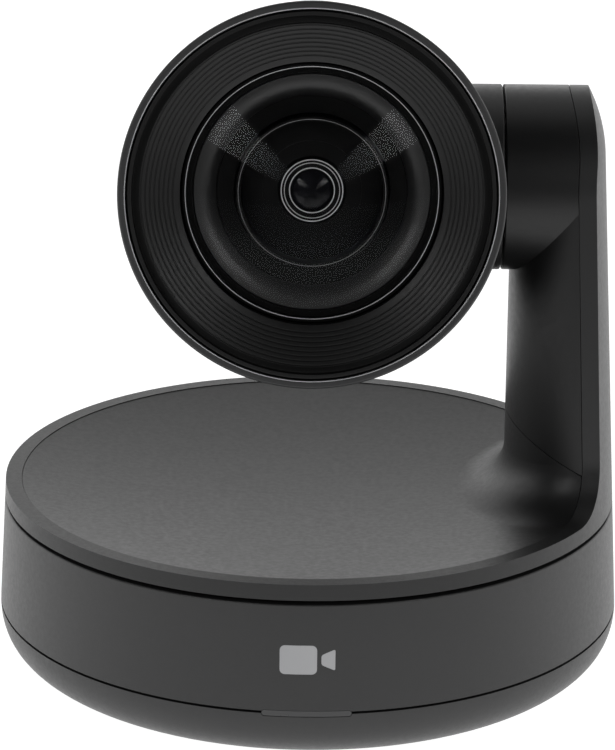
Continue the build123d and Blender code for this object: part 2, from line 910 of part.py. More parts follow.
arm_round_start = tilt_height + arm_round_rise
arm_cut_top = tilt_height + boss_radius + 1


def cone_profile(inset, low, high):
    """Points of the leaning outer wall, moved inwards, with its rounding at the top."""
    lean = math.radians(wall_draft)
    start_radius = wall_radius(arm_round_start)
    middle = (
        start_radius - arm_top_rounding * math.cos(lean),
        arm_round_start - arm_top_rounding * math.sin(lean),
    )
    radius = arm_top_rounding - inset
    turn_start = (
        middle[0] + radius * math.cos(lean),
        middle[1] + radius * math.sin(lean),
    )
    end_angle = math.asin((high - middle[1]) / radius)
    half_angle = (lean + end_angle) / 2
    half = (
        middle[0] + radius * math.cos(half_angle),
        middle[1] + radius * math.sin(half_angle),
    )
    end = (middle[0] + radius * math.cos(end_angle), high)
    start = (turn_start[0] + draft * (turn_start[1] - low), low)
    return start, turn_start, half, end


def cone_solid(inset, low, high, mode=Mode.ADD):
    """Solid inside the leaning wall."""
    start, turn_start, half, end = cone_profile(inset, low, high)
    with BuildSketch(Plane.XZ) as section:
        with BuildLine():
            Line((0, low), start)
            Line(start, turn_start)
            ThreePointArc(turn_start, half, end)
            Line(end, (0, high))
            Line((0, high), (0, low))
        make_face()
    revolve(section.sketch, axis=Axis.Z, mode=mode)


with BuildPart() as arm_shell:
    add_arm_blank(0)
    turn(ring(0, seam_radius, rim_bottom, rim_top))
    cone_solid(0, rim_bottom, arm_cut_top, Mode.INTERSECT)
    cone_solid(shell_wall, rim_bottom - 1, arm_cut_top, Mode.SUBTRACT)
    # ledge that carries the dish and takes the rim screws
    turn(ring(ledge_inner_radius, dish_radius + 0.9, ledge_bottom, rim_bottom + 0.15))
    turn(ring(dish_radius - 1.8, dish_radius + 0.6, rim_bottom, rim_bottom + 1.15))
    for place in polar_planes(post_ring, ledge_bottom, table_posts):
        post(place, small_screw + screw_clearance, 1.6, Mode.SUBTRACT)
save(arm_shell, "arm_shell")

# Dish with its collar round the foot of the arm

dish_bottom = rim_top - 0.15 - dish_sag


def column(inset, low, mode=Mode.ADD):
    """Half-round column of the arm, from a low level up to the pivot."""
    widen = (arm_bottom_half - boss_radius) / (tilt_height - rim_top - flare)
    low_half = boss_radius + widen * (tilt_height - low) - inset
    with BuildSketch(Plane.XY.offset(low)) as foot:
        with Locations((column_middle, 0)):
            Ellipse(column_depth - inset, low_half)
    with BuildSketch(Plane.XY.offset(tilt_height)) as head:
        with Locations((column_middle, 0)):
            Ellipse(column_depth - inset, boss_radius - inset)
    loft([foot.sketch.face(), head.sketch.face()], mode=mode)


def dish_solid(sink, radius, mode=Mode.ADD):
    """Everything under the dish's bowl-shaped surface, moved down by sink."""
    low = dish_bottom - sink
    edge_height = low + dish_sag * (radius / dish_radius) ** 2
    away_from_arm = Plane(origin=(0, 0, 0), x_dir=(-1, 0, 0), z_dir=(0, 1, 0))
    with BuildSketch(away_from_arm) as section:
        with BuildLine():
            Line((0, 0), (radius, 0))
            Line((radius, 0), (radius, edge_height))
            Bezier((radius, edge_height), (radius / 2, low), (0, low))
            Line((0, low), (0, 0))
        make_face()
    revolve(section.sketch, axis=Axis.Z, mode=mode)


slant_length = 60.0
slant = math.degrees(math.atan(collar_seam_slope))
seam_plane = Plane(origin=(column_middle, 0, collar_seam_height), z_dir=(0, 0, 1)).rotated(
    (0, slant, 0)
)


def above_slant(lift, mode):
    """Takes away or keeps what is above the slanted seam of the collar."""
    with BuildSketch(seam_plane.offset(lift)) as half_space:
        Rectangle(2 * slant_length, 2 * slant_length)
    extrude(half_space.sketch, amount=120, mode=mode)


def flared_column(inset, sink, radius):
    """Dish and column joined by one round flare."""
    with BuildPart() as built:
        dish_solid(sink, radius)
        column(inset, 20)
        meeting = built.edges().filter_by(
            lambda edge: edge.center().Z < rim_top + 3
            and edge.center().Z > dish_bottom - sink - 1
            and abs(edge.bounding_box().size.Y) < 3 * arm_bottom_half
            and abs(edge.bounding_box().size.Y) > arm_bottom_half
        )
        fillet(meeting, flare + inset)
    return built


big_radius = 100.0

with BuildPart() as dish_cover:
    add(flared_column(0, 0, big_radius).part)
    cone_solid(shell_wall + dish_seam, 1, arm_cut_top, Mode.INTERSECT)
    add(flared_column(cover_wall, dish_wall, big_radius + 1).part, mode=Mode.SUBTRACT)
    above_slant(-cover_seam / 2, Mode.SUBTRACT)
save(dish_cover, "dish_cover")

# Inner cover of the arm, with the pivot boss

with BuildPart() as arm_inner_cover:
    column(0, 30)
    above_slant(cover_seam / 2, Mode.INTERSECT)
    turn_tilt(0, boss_radius, boss_face, column_middle + 5)
    column(cover_wall, 29, Mode.SUBTRACT)
    turn_tilt(0, boss_radius - cover_wall, boss_face + cover_wall, seam_radius, Mode.SUBTRACT)
    turn_tilt(0, boss_hole, boss_face - 1, seam_radius, Mode.SUBTRACT)
    cone_solid(shell_wall + cover_seam, 1, arm_cut_top, Mode.INTERSECT)
    boss_edge = arm_inner_cover.edges().filter_by(GeomType.CIRCLE).group_by(Axis.X)[0]
    fillet(boss_edge.sort_by(SortBy.RADIUS)[-1], fillet_size)
save(arm_inner_cover, "arm_inner_cover")

# Frame of the arm with the tilt bearings and the tilt drive

bearing_gap = 1.0
bearing_one = frame_face
bearing_two = frame_face + tilt_bearing_width + bearing_gap
tube_end = bearing_two + tilt_bearing_width
tilt_motor_drop = tilt_centres
frame_window = 7.0
tilt_shaft_in_motor = 5.6

with BuildPart() as arm_frame:
    with BuildSketch(Plane.YZ.offset(frame_face)) as sheet:
        with Locations((0, (table_top + tilt_height) / 2)):
            Rectangle(2 * frame_half_width, tilt_height - table_top)
        with Locations((0, tilt_height)):
            Circle(frame_half_width)
        with Locations((0, tilt_height - tilt_motor_drop)):
            Circle(motor_boss + port_clearance, mode=Mode.SUBTRACT)
        with Locations(*[(0, height) for height in frame_window_heights]):
            Circle(frame_window, mode=Mode.SUBTRACT)
    extrude(sheet.sketch, amount=frame_thick)
    block(
        (foot_start, -frame_half_width, table_top),
        (frame_face + frame_thick, frame_half_width, table_top + foot_plate_thick),
    )
    turn_tilt(0, bearing_tube, frame_face, tube_end)
    turn_tilt(0, bearing_outer - 1, frame_face - 1, tube_end + 1, Mode.SUBTRACT)
    turn_tilt(0, bearing_outer, bearing_one, bearing_one + tilt_bearing_width, Mode.SUBTRACT)
    turn_tilt(0, bearing_outer, bearing_two, tube_end, Mode.SUBTRACT)
    for y in (-foot_screw_y, foot_screw_y):
        hole = Plane(origin=(foot_screw_x, y, table_top))
        post(hole, screw_radius + screw_clearance, foot_plate_thick, Mode.SUBTRACT)
save(arm_frame, "arm_frame")

arm_screws = screws(
    [
        Plane(origin=(foot_screw_x, y, table_top + foot_plate_thick))
        for y in (-foot_screw_y, foot_screw_y)
    ],
    screw_head - 0.4,
    1.1,
    screw_radius,
    table_thick + foot_plate_thick - 0.2,
    1.0,
)
save(arm_screws, "arm_screws")


def tilt_races(inner, outer):
    """The same race in both tilt bearings."""
    with BuildPart() as pair:
        for low in (bearing_one, bearing_two):
            built = race(
                inner,
                outer,
                low,
                low + tilt_bearing_width,
                tilt_ball_circle,
                tilt_ball + ball_play,
                tilt_section,
                tilt_axis,
                True,
            )
            add(built.part)
    return pair


tilt_race_inner = tilt_races(shaft_radius, tilt_ball_circle - shoulder / 2)
save(tilt_race_inner, "tilt_race_inner")
tilt_race_outer = tilt_races(tilt_ball_circle + shoulder / 2, bearing_outer)
save(tilt_race_outer, "tilt_race_outer")

tilt_ball_count = 11

with BuildPart() as tilt_balls:
    for low in (bearing_one, bearing_two):
        with Locations(across_tilt(low + tilt_bearing_width / 2)):
            with PolarLocations(tilt_ball_circle, tilt_ball_count):
                Sphere(tilt_ball)
save(tilt_balls, "tilt_balls")

motor_axis = Plane(
    origin=(frame_face + frame_thick, 0, tilt_height - tilt_motor_drop),
    x_dir=(0, 0, -1),
    z_dir=(1, 0, 0),
)

with BuildPart() as tilt_motor:
    post(motor_axis, motor_radius, tilt_motor_length)
    fillet(tilt_motor.edges(), 0.8)
    post(motor_axis, motor_boss, -(frame_thick - 0.3))
    post(motor_axis.offset(-frame_thick), motor_shaft + shaft_clearance, 8, Mode.SUBTRACT)
save(tilt_motor, "tilt_motor")

with BuildPart() as tilt_pinion:
    pinion_plane = Plane(
        origin=(tilt_gear_face, 0, tilt_height - tilt_motor_drop),
        x_dir=(0, 0, -1),
        z_dir=(1, 0, 0),
    )
    gear(pinion_plane, tilt_pinion_teeth, motor_shaft / 2, tilt_gear_width, 180 / tilt_pinion_teeth)
    shaft_start = tilt_gear_face - frame_face - frame_thick - 0.2
    post(motor_axis.offset(shaft_start), motor_shaft, tilt_shaft_in_motor - shaft_start)
save(tilt_pinion, "tilt_pinion")

# Head

shaft_flange_radius = 9.0
shaft_flange_thick = 1.8
collar_wall = 2.0
shaft_end = tube_end + 0.8
flange_screw_circle = 6.6

with BuildPart() as tilt_shaft:
    turn_tilt(0, shaft_radius, collar_face - collar_wall - shaft_flange_thick, shaft_end)
    turn_tilt(
        0,
        shaft_flange_radius,
        collar_face - collar_wall - shaft_flange_thick,
        collar_face - collar_wall,
    )
    turn_tilt(0, shaft_bore, 0, seam_radius, Mode.SUBTRACT)
    for place in [across_tilt(0)]:
        with BuildSketch(place) as holes:
            with PolarLocations(flange_screw_circle, 3):
                Circle(small_screw + screw_clearance)
        extrude(holes.sketch, amount=seam_radius, mode=Mode.SUBTRACT)
save(tilt_shaft, "tilt_shaft")

with BuildPart() as tilt_gear:
    gear(across_tilt(tilt_gear_face), tilt_gear_teeth, shaft_radius, tilt_gear_width)
    with BuildSketch(across_tilt(tilt_gear_face)) as spokes:
        with PolarLocations(spoke_circle, spoke_holes):
            Circle(spoke_hole)
    extrude(spokes.sketch, amount=tilt_gear_width, mode=Mode.SUBTRACT)
save(tilt_gear, "tilt_gear")

barrel_seam_front = bezel_back - head_seam
collar_inner = boss_radius - collar_wall
lens_screw_circle = 37.5
lens_screw_angles = [45, 135, 225, 315]


def barrel_radius(position):
    share = (position - barrel_rear) / (bezel_back - barrel_rear)
    return barrel_rear_radius + (barrel_front_radius - barrel_rear_radius) * share


def barrel_outline(inset, low, high):
    return [
        (0, low),
        (barrel_radius(low) - inset, low),
        (barrel_radius(high) - inset, high),
        (0, high),
    ]


with BuildPart() as head_barrel:
    turn_head(barrel_outline(0, barrel_rear, barrel_seam_front))
    turn_tilt(0, boss_radius, 0, collar_face)
    fillet(
        head_barrel.edges().filter_by(GeomType.CIRCLE).sort_by(Axis.X)[-1], fillet_size
    )
    turn_head(barrel_outline(head_wall, barrel_rear - 1, bezel_back + 1), Mode.SUBTRACT)
    turn_tilt(0, collar_inner, 20, collar_face - collar_wall, Mode.SUBTRACT)
    turn_tilt(0, shaft_radius, 20, collar_face + 1, Mode.SUBTRACT)
    # seats of the lens flange
    turn_head(
        ring(
            flange_radius - 1.5,
            barrel_radius(flange_front) - 1,
            flange_front - flange_thick - 3,
            flange_front - flange_thick,
        )
    )
    with BuildSketch(optical.offset(flange_front - flange_thick)) as lugs:
        with PolarLocations(lens_screw_circle, 4, start_angle=45):
            Circle(screw_head)
    extrude(lugs.sketch, amount=-6)
    with BuildSketch(optical.offset(flange_front - flange_thick)) as lug_holes:
        with PolarLocations(lens_screw_circle, 4, start_angle=45):
            Circle(small_screw + screw_clearance)
    extrude(lug_holes.sketch, amount=-5, mode=Mode.SUBTRACT)
    with BuildSketch(across_tilt(collar_face - collar_wall)) as flange_holes:
        with PolarLocations(flange_screw_circle, 3):
            Circle(small_screw + screw_clearance)
    extrude(flange_holes.sketch, amount=collar_wall - 0.6, mode=Mode.SUBTRACT)
save(head_barrel, "head_barrel")

flange_screw_planes = [
    Plane(
        origin=(
            collar_face - collar_wall - shaft_flange_thick,
            flange_screw_circle * math.sin(math.radians(angle)),
            tilt_height - flange_screw_circle * math.cos(math.radians(angle)),
        ),
        z_dir=(-1, 0, 0),
    )
    for angle in (0, 120, 240)
]
shaft_screws = screws(flange_screw_planes, small_head, 1.0, small_screw, 3.0, 0.8)
save(shaft_screws, "shaft_screws")

with BuildPart() as rear_cover:
    spigot = 2.0
    rear_start = barrel_rear - head_seam
    drop = rear_start - head_rear
    reach = barrel_rear_radius - rear_flat_radius
    with BuildSketch(head_section):
        with BuildLine():
            dome = Bezier(
                (barrel_rear_radius, rear_start),
                (barrel_rear_radius, rear_start - rear_fullness * drop),
                (rear_flat_radius + rear_fullness * reach, head_rear),
                (rear_flat_radius, head_rear),
            )
            Line(dome @ 1, (0, head_rear))
            Line((0, head_rear), (0, head_rear + head_wall))
            inside = Bezier(
                (barrel_rear_radius - head_wall, rear_start),
                (barrel_rear_radius - head_wall, rear_start - rear_fullness * (drop - head_wall)),
                (
                    rear_flat_radius - head_wall + rear_fullness * reach,
                    head_rear + head_wall,
                ),
                (rear_flat_radius - head_wall, head_rear + head_wall),
            )
            Line((0, head_rear + head_wall), inside @ 1)
            Line(inside @ 0, dome @ 0)
        make_face()
    revolve(axis=optical_axis)
    turn_head(
        ring(
            barrel_rear_radius - 2 * head_wall,
            barrel_rear_radius - head_wall,
            rear_start - spigot,
            rear_start + spigot,
        )
    )
save(rear_cover, "rear_cover")

with BuildPart() as bezel_ring:
    turn_head(
        [
            (bezel_opening, bezel_back),
            (barrel_front_radius, bezel_back),
            (bezel_radius, bezel_widest),
            (bezel_radius - 0.1, bezel_widest + 0.3),
            (bezel_radius - 0.4, bezel_front),
            (bezel_opening + 0.2, bezel_front),
            (bezel_opening, bezel_front - 0.2),
        ]
    )
    # spigot that snaps into the barrel
    spigot_outer = barrel_radius(38) - head_wall - head_seam / 2
    turn_head(ring(spigot_outer - 1.2, spigot_outer, 38, bezel_back + 2))
    turn_head(ring(spigot_outer - 1.2, bezel_opening + 0.3, bezel_back, bezel_back + 2))
save(bezel_ring, "bezel_ring")

# Lens front

groove_cone_length = baffle_outer - baffle_inner


def baffle_height(radius):
    """Height of the ribbed cone at a radius."""
    share = (radius - baffle_inner) / groove_cone_length
    return bezel_front - 0.2 - baffle_depth * (1 - share)


baffle_back = retainer_front - 1.2
baffle_points = [(baffle_inner, baffle_back), (baffle_inner, baffle_height(baffle_inner))]
for number in range(baffle_grooves - 1):
    centre = groove_first + groove_pitch * number
    for step, sink in ((-0.5, 0), (-0.3, 1), (0.3, 1), (0.5, 0)):
        radius = centre + step * groove_width
        baffle_points.append((radius, baffle_height(radius) - sink * groove_depth))
baffle_points += [
    (baffle_outer, baffle_height(baffle_outer)),
    (baffle_outer, bezel_front - baffle_trough),
    (baffle_rim_inner, bezel_front - baffle_trough),
    (baffle_rim_inner, bezel_front - 0.25),
    (baffle_rim_radius, bezel_front - 0.25),
    (baffle_rim_radius, bezel_front - baffle_trough - 0.8),
    (baffle_outer - 1, bezel_front - baffle_trough - 0.8),
    (baffle_inner + 3, baffle_back),
]

with BuildPart() as baffle_ring:
    turn_head(baffle_points)
save(baffle_ring, "baffle_ring")

glass_edge_back = retainer_front - 1.6 - glass_edge

with BuildPart() as glass_retainer:
    turn_head(
        [
            (cone_outer, glass_edge_back - 1.4),
            (retainer_outer, glass_edge_back - 1.4),
            (retainer_outer, retainer_front),
            (retainer_inner + 0.3, retainer_front),
            (retainer_inner, retainer_front - 0.4),
            (retainer_inner, glass_edge_back),
            (cone_outer, glass_edge_back),
        ]
    )
save(glass_retainer, "glass_retainer")


def meniscus(radius, edge_low, edge_thick, curve_front, curve_back):
    """Round lens element between two spherical faces that bulge the same way."""
    sag_front = curve_front - math.sqrt(curve_front**2 - radius**2)
    sag_back = curve_back - math.sqrt(curve_back**2 - radius**2)
    half = radius / 2
    half_front = sag_front - (curve_front - math.sqrt(curve_front**2 - half**2))
    half_back = sag_back - (curve_back - math.sqrt(curve_back**2 - half**2))
    high = edge_low + edge_thick
    with BuildSketch(head_section) as section:
        with BuildLine():
            Line((0, edge_low + sag_back), (0, high + sag_front))
            ThreePointArc((0, high + sag_front), (half, high + half_front), (radius, high))
            Line((radius, high), (radius, edge_low))
            ThreePointArc(
                (radius, edge_low), (half, edge_low + half_back), (0, edge_low + sag_back)
            )
        make_face()
    revolve(section.sketch, axis=optical_axis)


with BuildPart() as front_glass:
    meniscus(glass_radius, glass_edge_back, glass_edge, glass_curve, glass_curve + glass_thickness)
save(front_glass, "front_glass")

cone_steps = 11
cone_points = []
for number in range(cone_steps):
    share = number / cone_steps
    next_share = (number + 0.6) / cone_steps
    cone_points.append(
        (
            cone_inner + (cone_outer - cone_inner) * share,
            cone_back + (cone_front - cone_back) * share,
        )
    )
    cone_points.append(
        (
            cone_inner + (cone_outer - cone_inner) * next_share,
            cone_back + (cone_front - cone_back) * share,
        )
    )

cone_seat = glass_edge_back - 1.4
with BuildPart() as lens_cone:
    turn_head(
        [(cone_inner, cone_back - 1.0)]
        + cone_points
        + [
            (cone_outer - 0.2, min(cone_front, cone_seat + 1.2)),
            (cone_outer - 0.2, cone_seat),
            (cone_outer + 1.6, cone_seat),
            (cone_outer + 1.6, cone_back - 1.0),
        ]
    )
save(lens_cone, "lens_cone")

# Lens tube, its sliding groups and the sensor

tube_outer = cone_inner + tube_wall
magnet_width = 8.0
magnet_thick = 1.5
magnet_low = -16.0
magnet_high = 30.0
drive_angles = [0, 180]

with BuildPart() as lens_tube:
    turn_head(ring(cone_inner, tube_outer, tube_rear, cone_back - 1.0))
    turn_head(ring(tube_outer - 0.5, flange_radius, flange_front - flange_thick, flange_front))
    turn_head(ring(tube_outer - 0.5, cone_outer + 1.6, flange_front, cone_back - 1.0))
    with BuildSketch(optical.offset(flange_front)) as holes:
        with PolarLocations(lens_screw_circle, 4, start_angle=45):
            Circle(small_screw + screw_clearance)
    extrude(holes.sketch, amount=-flange_thick, mode=Mode.SUBTRACT)
save(lens_tube, "lens_tube")


def around_lens(circle, position, angles, facing=1):
    """Planes square to the optical axis, spread on a circle."""
    return [
        Plane(
            origin=optical.from_local_coords(
                (
                    circle * math.cos(math.radians(angle)),
                    circle * math.sin(math.radians(angle)),
                    position,
                )
            ),
            x_dir=(1, 0, 0),
            z_dir=optical.z_dir * facing,
        )
        for angle in angles
    ]


lens_screws = screws(
    around_lens(lens_screw_circle, flange_front, lens_screw_angles),
    small_head,
    1.2,
    small_screw,
    flange_thick + 4,
    0.8,
)
save(lens_screws, "lens_screws")

rear_plate_thick = 2.0
rod_angles = [90, 270]
rod_front = 33.0

with BuildPart() as sensor_plate:
    turn_head(ring(0, tube_outer, tube_rear - rear_plate_thick, tube_rear))
    turn_head(ring(0, cone_inner - 0.05, tube_rear, tube_rear + 1.2))
    with BuildSketch(optical.offset(tube_rear - rear_plate_thick)) as window:
        Rectangle(*sensor_window)
    extrude(window.sketch, amount=rear_plate_thick + 2, mode=Mode.SUBTRACT)
    for place in around_lens(rod_circle, tube_rear - rear_plate_thick, rod_angles):
        post(place, rod_radius, rear_plate_thick + 2, Mode.SUBTRACT)
save(sensor_plate, "sensor_plate")

with BuildPart() as guide_rods:
    for place in around_lens(rod_circle, tube_rear - rear_plate_thick, rod_angles):
        post(place, rod_radius, rod_front - tube_rear + rear_plate_thick)
save(guide_rods, "guide_rods")

rod_holder_high = cone_back - 1.2
with BuildPart() as rod_holder:
    turn_head(ring(zoom_radius + 0.6, cone_inner - 0.05, rod_front - 1.2, rod_holder_high))
    for place in around_lens(rod_circle, rod_front - 1.2, rod_angles):
        post(place, rod_radius, 1.2, Mode.SUBTRACT)
save(rod_holder, "rod_holder")

with BuildPart() as sensor_board:
    with BuildSketch(optical.offset(tube_rear - rear_plate_thick)) as board:
        RectangleRounded(*sensor_board_size, sensor_board_corner)
    extrude(board.sketch, amount=-board_thick)
    with BuildSketch(optical.offset(tube_rear - rear_plate_thick)) as package:
        Rectangle(*sensor_size)
    extrude(package.sketch, amount=sensor_height)
save(sensor_board, "sensor_board")

with BuildPart() as sensor_glass:
    with BuildSketch(optical.offset(tube_rear - rear_plate_thick + sensor_height)) as cover:
        Rectangle(*sensor_glass_size)
    extrude(cover.sketch, amount=sensor_glass_thick)
save(sensor_glass, "sensor_glass")

lug_width = 5.0
coil_thick = 1.6
magnet_circle = cone_inner - magnet_thick


def lens_cell(radius, opening, front, length, lip):
    """Ring that holds a glass, with two lugs that slide on the rods and two coils."""
    low = front - length
    turn_head(ring(opening, radius, low, front))
    turn_head(ring(opening - lip, opening + 0.1, low, low + 1.2))
    with BuildSketch(optical.offset(low)) as lugs:
        with PolarLocations(rod_circle, 2, start_angle=90):
            Circle(rod_radius + 1.1)
        for angle in rod_angles:
            with Locations(Location((0, 0, 0), (0, 0, angle))):
                with Locations(((radius + rod_circle) / 2, 0)):
                    Rectangle(rod_circle - radius + 1, 3)
        for angle in drive_angles:
            with Locations(Location((0, 0, 0), (0, 0, angle))):
                with Locations(((radius + magnet_circle - coil_thick) / 2, 0)):
                    Rectangle(magnet_circle - coil_thick - radius + 1.4, lug_width)
        Circle(radius - 0.2, mode=Mode.SUBTRACT)
        with PolarLocations(rod_circle, 2, start_angle=90):
            Circle(rod_radius + rod_clearance, mode=Mode.SUBTRACT)
    extrude(lugs.sketch, amount=lug_length)


with BuildPart() as zoom_cell:
    lens_cell(zoom_radius, zoom_glass_radius, zoom_front, zoom_length, 1.2)
save(zoom_cell, "zoom_cell")

zoom_glass_thick = 3.0
with BuildPart() as zoom_glass:
    meniscus(zoom_glass_radius, zoom_front - 1.0 - zoom_glass_thick, zoom_glass_thick, 48, 90)
save(zoom_glass, "zoom_glass")

iris_front = zoom_front - iris_sink
iris_plate = iris_front - iris_rise
with BuildPart() as iris_ring:
    turn_head(
        [
            (iris_opening, iris_plate - iris_thick),
            (zoom_glass_radius, iris_plate - iris_thick),
            (zoom_glass_radius, iris_plate),
            (iris_radius + 0.6, iris_plate),
            (iris_radius, iris_front),
            (iris_radius - 1.0, iris_front),
            (iris_opening, iris_plate - 0.2),
        ]
    )
save(iris_ring, "iris_ring")

with BuildPart() as focus_cell:
    lens_cell(focus_radius, focus_glass_radius, focus_front, focus_length, 1.0)
save(focus_cell, "focus_cell")

focus_glass_thick = 3.2
with BuildPart() as focus_glass:
    meniscus(focus_glass_radius, focus_front - 1 - focus_glass_thick, focus_glass_thick, 22, 60)
save(focus_glass, "focus_glass")

with BuildPart() as drive_magnets:
    with BuildSketch(optical.offset(magnet_low)) as strips:
        for angle in drive_angles:
            with Locations(Location((0, 0, 0), (0, 0, angle))):
                with Locations((magnet_circle, 0)):
                    Rectangle(2 * magnet_thick, magnet_width)
        Circle(magnet_circle - magnet_thick / 2, mode=Mode.SUBTRACT)
        with BuildSketch(optical.offset(magnet_low), mode=Mode.INTERSECT):
            Circle(cone_inner - 0.02)
    extrude(strips.sketch, amount=magnet_high - magnet_low)
save(drive_magnets, "drive_magnets")
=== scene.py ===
import json
import math

import bpy
from mathutils import Matrix, Vector


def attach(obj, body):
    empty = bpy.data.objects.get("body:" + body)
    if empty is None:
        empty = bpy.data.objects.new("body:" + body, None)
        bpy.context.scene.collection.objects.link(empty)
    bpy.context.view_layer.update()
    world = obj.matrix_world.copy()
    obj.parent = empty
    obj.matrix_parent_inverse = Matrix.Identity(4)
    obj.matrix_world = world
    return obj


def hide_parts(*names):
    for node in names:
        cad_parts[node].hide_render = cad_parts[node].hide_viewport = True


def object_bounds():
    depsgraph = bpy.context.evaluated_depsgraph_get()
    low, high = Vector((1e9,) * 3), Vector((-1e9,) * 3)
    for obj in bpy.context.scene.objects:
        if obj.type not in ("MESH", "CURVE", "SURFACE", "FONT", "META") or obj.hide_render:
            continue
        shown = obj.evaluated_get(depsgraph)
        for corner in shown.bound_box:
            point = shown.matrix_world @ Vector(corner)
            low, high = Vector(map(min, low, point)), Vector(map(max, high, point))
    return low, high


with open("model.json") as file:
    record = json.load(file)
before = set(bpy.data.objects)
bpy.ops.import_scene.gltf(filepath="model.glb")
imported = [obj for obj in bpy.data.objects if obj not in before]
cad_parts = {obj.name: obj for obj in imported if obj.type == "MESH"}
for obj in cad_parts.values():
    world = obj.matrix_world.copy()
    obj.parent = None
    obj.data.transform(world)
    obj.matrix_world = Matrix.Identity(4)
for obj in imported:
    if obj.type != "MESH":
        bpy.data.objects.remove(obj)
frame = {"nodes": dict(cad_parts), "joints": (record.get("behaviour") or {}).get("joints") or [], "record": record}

cadLow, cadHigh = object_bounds()
nodes = frame["nodes"]
joints = {joint["name"]: joint for joint in frame["joints"]}
opticalAxis = Vector(joints["zoom"]["axis"]).normalized()
tiltCentre = Vector((0, 0, joints["tilt"]["pos_m"][2]))
mm = 0.001
bpy.ops.object.select_all(action="DESELECT")
print("frame loaded with", len(nodes), "nodes")


def lensTurn():
    # turns +Z onto the optical axis and keeps +X
    across = Vector((1, 0, 0))
    return Matrix((across, opticalAxis.cross(across), opticalAxis)).transposed().to_4x4()


def alongLens(node):
    # lowest and highest place of a node along the optical axis from the tilt centre, in mm
    places = [(vertex.co - tiltCentre).dot(opticalAxis) for vertex in nodes[node].data.vertices]
    return min(places) / mm, max(places) / mm


bezelFront = alongLens("bezel_ring")[1]

# camera

cameraSettings = {
    "place": (0, -0.8997, 0.3786),
    "pitch": 18.733,
    "roll": 0.60,
    "lens": 186.95,
    "shiftX": -0.0034,
}


def addCamera(settings):
    pitch, roll = math.radians(settings["pitch"]), math.radians(settings["roll"])
    forward = Vector((0, math.cos(pitch), -math.sin(pitch)))
    upright = Vector((0, math.sin(pitch), math.cos(pitch)))
    right = Vector((1, 0, 0))
    turnedRight = right * math.cos(roll) + upright * math.sin(roll)
    turnedUp = upright * math.cos(roll) - right * math.sin(roll)
    data = bpy.data.cameras.new("camera")
    camera = bpy.data.objects.new("camera", data)
    bpy.context.scene.collection.objects.link(camera)
    data.lens = settings["lens"]
    data.shift_x = settings["shiftX"]
    data.clip_start = 0.01
    turned = Matrix((turnedRight, turnedUp, -forward)).transposed().to_4x4()
    camera.matrix_world = Matrix.Translation(settings["place"]) @ turned
    bpy.context.scene.camera = camera


addCamera(cameraSettings)

# studio: white all round the back, a pale floor, two soft boxes over the front

studio = {
    "floorSize": 8.0,
    "floorGlow": 1.0,
    "floorDim": 0.05,
    "floorNear": -0.26,
    "floorFar": -0.50,
    "floorTone": 0.3,
    "frontTone": 0.05,
    "backTone": 1.45,
    "backFrom": -0.30,
    "backTo": 0.35,
    "skyLow": 0.18,
    "skyHigh": 0.62,
    "skyTone": 0.38,
}

softBoxes = {
    "distance": 1.1,
    "glow": 5.0,
    "innerGlow": 0.6,
    "length": 0.80,
    "width": 0.36,
    "taper": 0.38,
    "offAxis": 34.0,
    "angles": (35.0, 145.0),
    "mirrorLift": 3.3,
}


def newMaterial(name):
    material = bpy.data.materials.new(name)
    material.use_nodes = True
    return material, material.node_tree, material.node_tree.nodes["Principled BSDF"]


def addNoise(tree, size, detail=2.0):
    noise = tree.nodes.new("ShaderNodeTexNoise")
    place = tree.nodes.new("ShaderNodeTexCoord")
    noise.inputs["Scale"].default_value = 1.0 / size
    noise.inputs["Detail"].default_value = detail
    tree.links.new(place.outputs["Object"], noise.inputs["Vector"])
    return noise.outputs["Fac"]


def addRange(tree, value, low, high, fromLow=0.3, fromHigh=0.7):
    ramp = tree.nodes.new("ShaderNodeMapRange")
    ramp.inputs["From Min"].default_value = fromLow
    ramp.inputs["From Max"].default_value = fromHigh
    ramp.inputs["To Min"].default_value = low
    ramp.inputs["To Max"].default_value = high
    tree.links.new(value, ramp.inputs["Value"])
    return ramp.outputs["Result"]


def addColours(tree, value, dark, light):
    mix = tree.nodes.new("ShaderNodeMix")
    mix.data_type = "RGBA"
    mix.inputs[6].default_value = (*dark, 1)
    mix.inputs[7].default_value = (*light, 1)
    tree.links.new(value, mix.inputs[0])
    return mix.outputs[2]


def addBump(tree, height, strength, distance):
    bump = tree.nodes.new("ShaderNodeBump")
    bump.inputs["Strength"].default_value = strength
    bump.inputs["Distance"].default_value = distance
    tree.links.new(height, bump.inputs["Height"])
    return bump.outputs["Normal"]


def addFloor(settings):
    bpy.ops.mesh.primitive_plane_add(size=settings["floorSize"])
    floor = bpy.context.object
    floor.name = "floor"
    material, tree, shader = newMaterial("paleFloor")
    tone = settings["floorTone"]
    shader.inputs["Base Color"].default_value = (tone, tone, tone, 1)
    shader.inputs["Roughness"].default_value = 0.9
    shader.inputs["Emission Color"].default_value = (1, 1, 1, 1)
    # the floor gives less light far in front of the object, where only reflections reach it
    place = tree.nodes.new("ShaderNodeTexCoord")
    parts = tree.nodes.new("ShaderNodeSeparateXYZ")
    tree.links.new(place.outputs["Object"], parts.inputs[0])
    fade = addRange(
        tree, parts.outputs["Y"], settings["floorDim"], settings["floorGlow"],
        settings["floorFar"], settings["floorNear"],
    )
    path = tree.nodes.new("ShaderNodeLightPath")
    seen = tree.nodes.new("ShaderNodeMath")
    seen.operation = "MAXIMUM"
    tree.links.new(fade, seen.inputs[0])
    tree.links.new(path.outputs["Is Camera Ray"], seen.inputs[1])
    tree.links.new(seen.outputs[0], shader.inputs["Emission Strength"])
    floor.data.materials.append(material)
    floor.select_set(False)


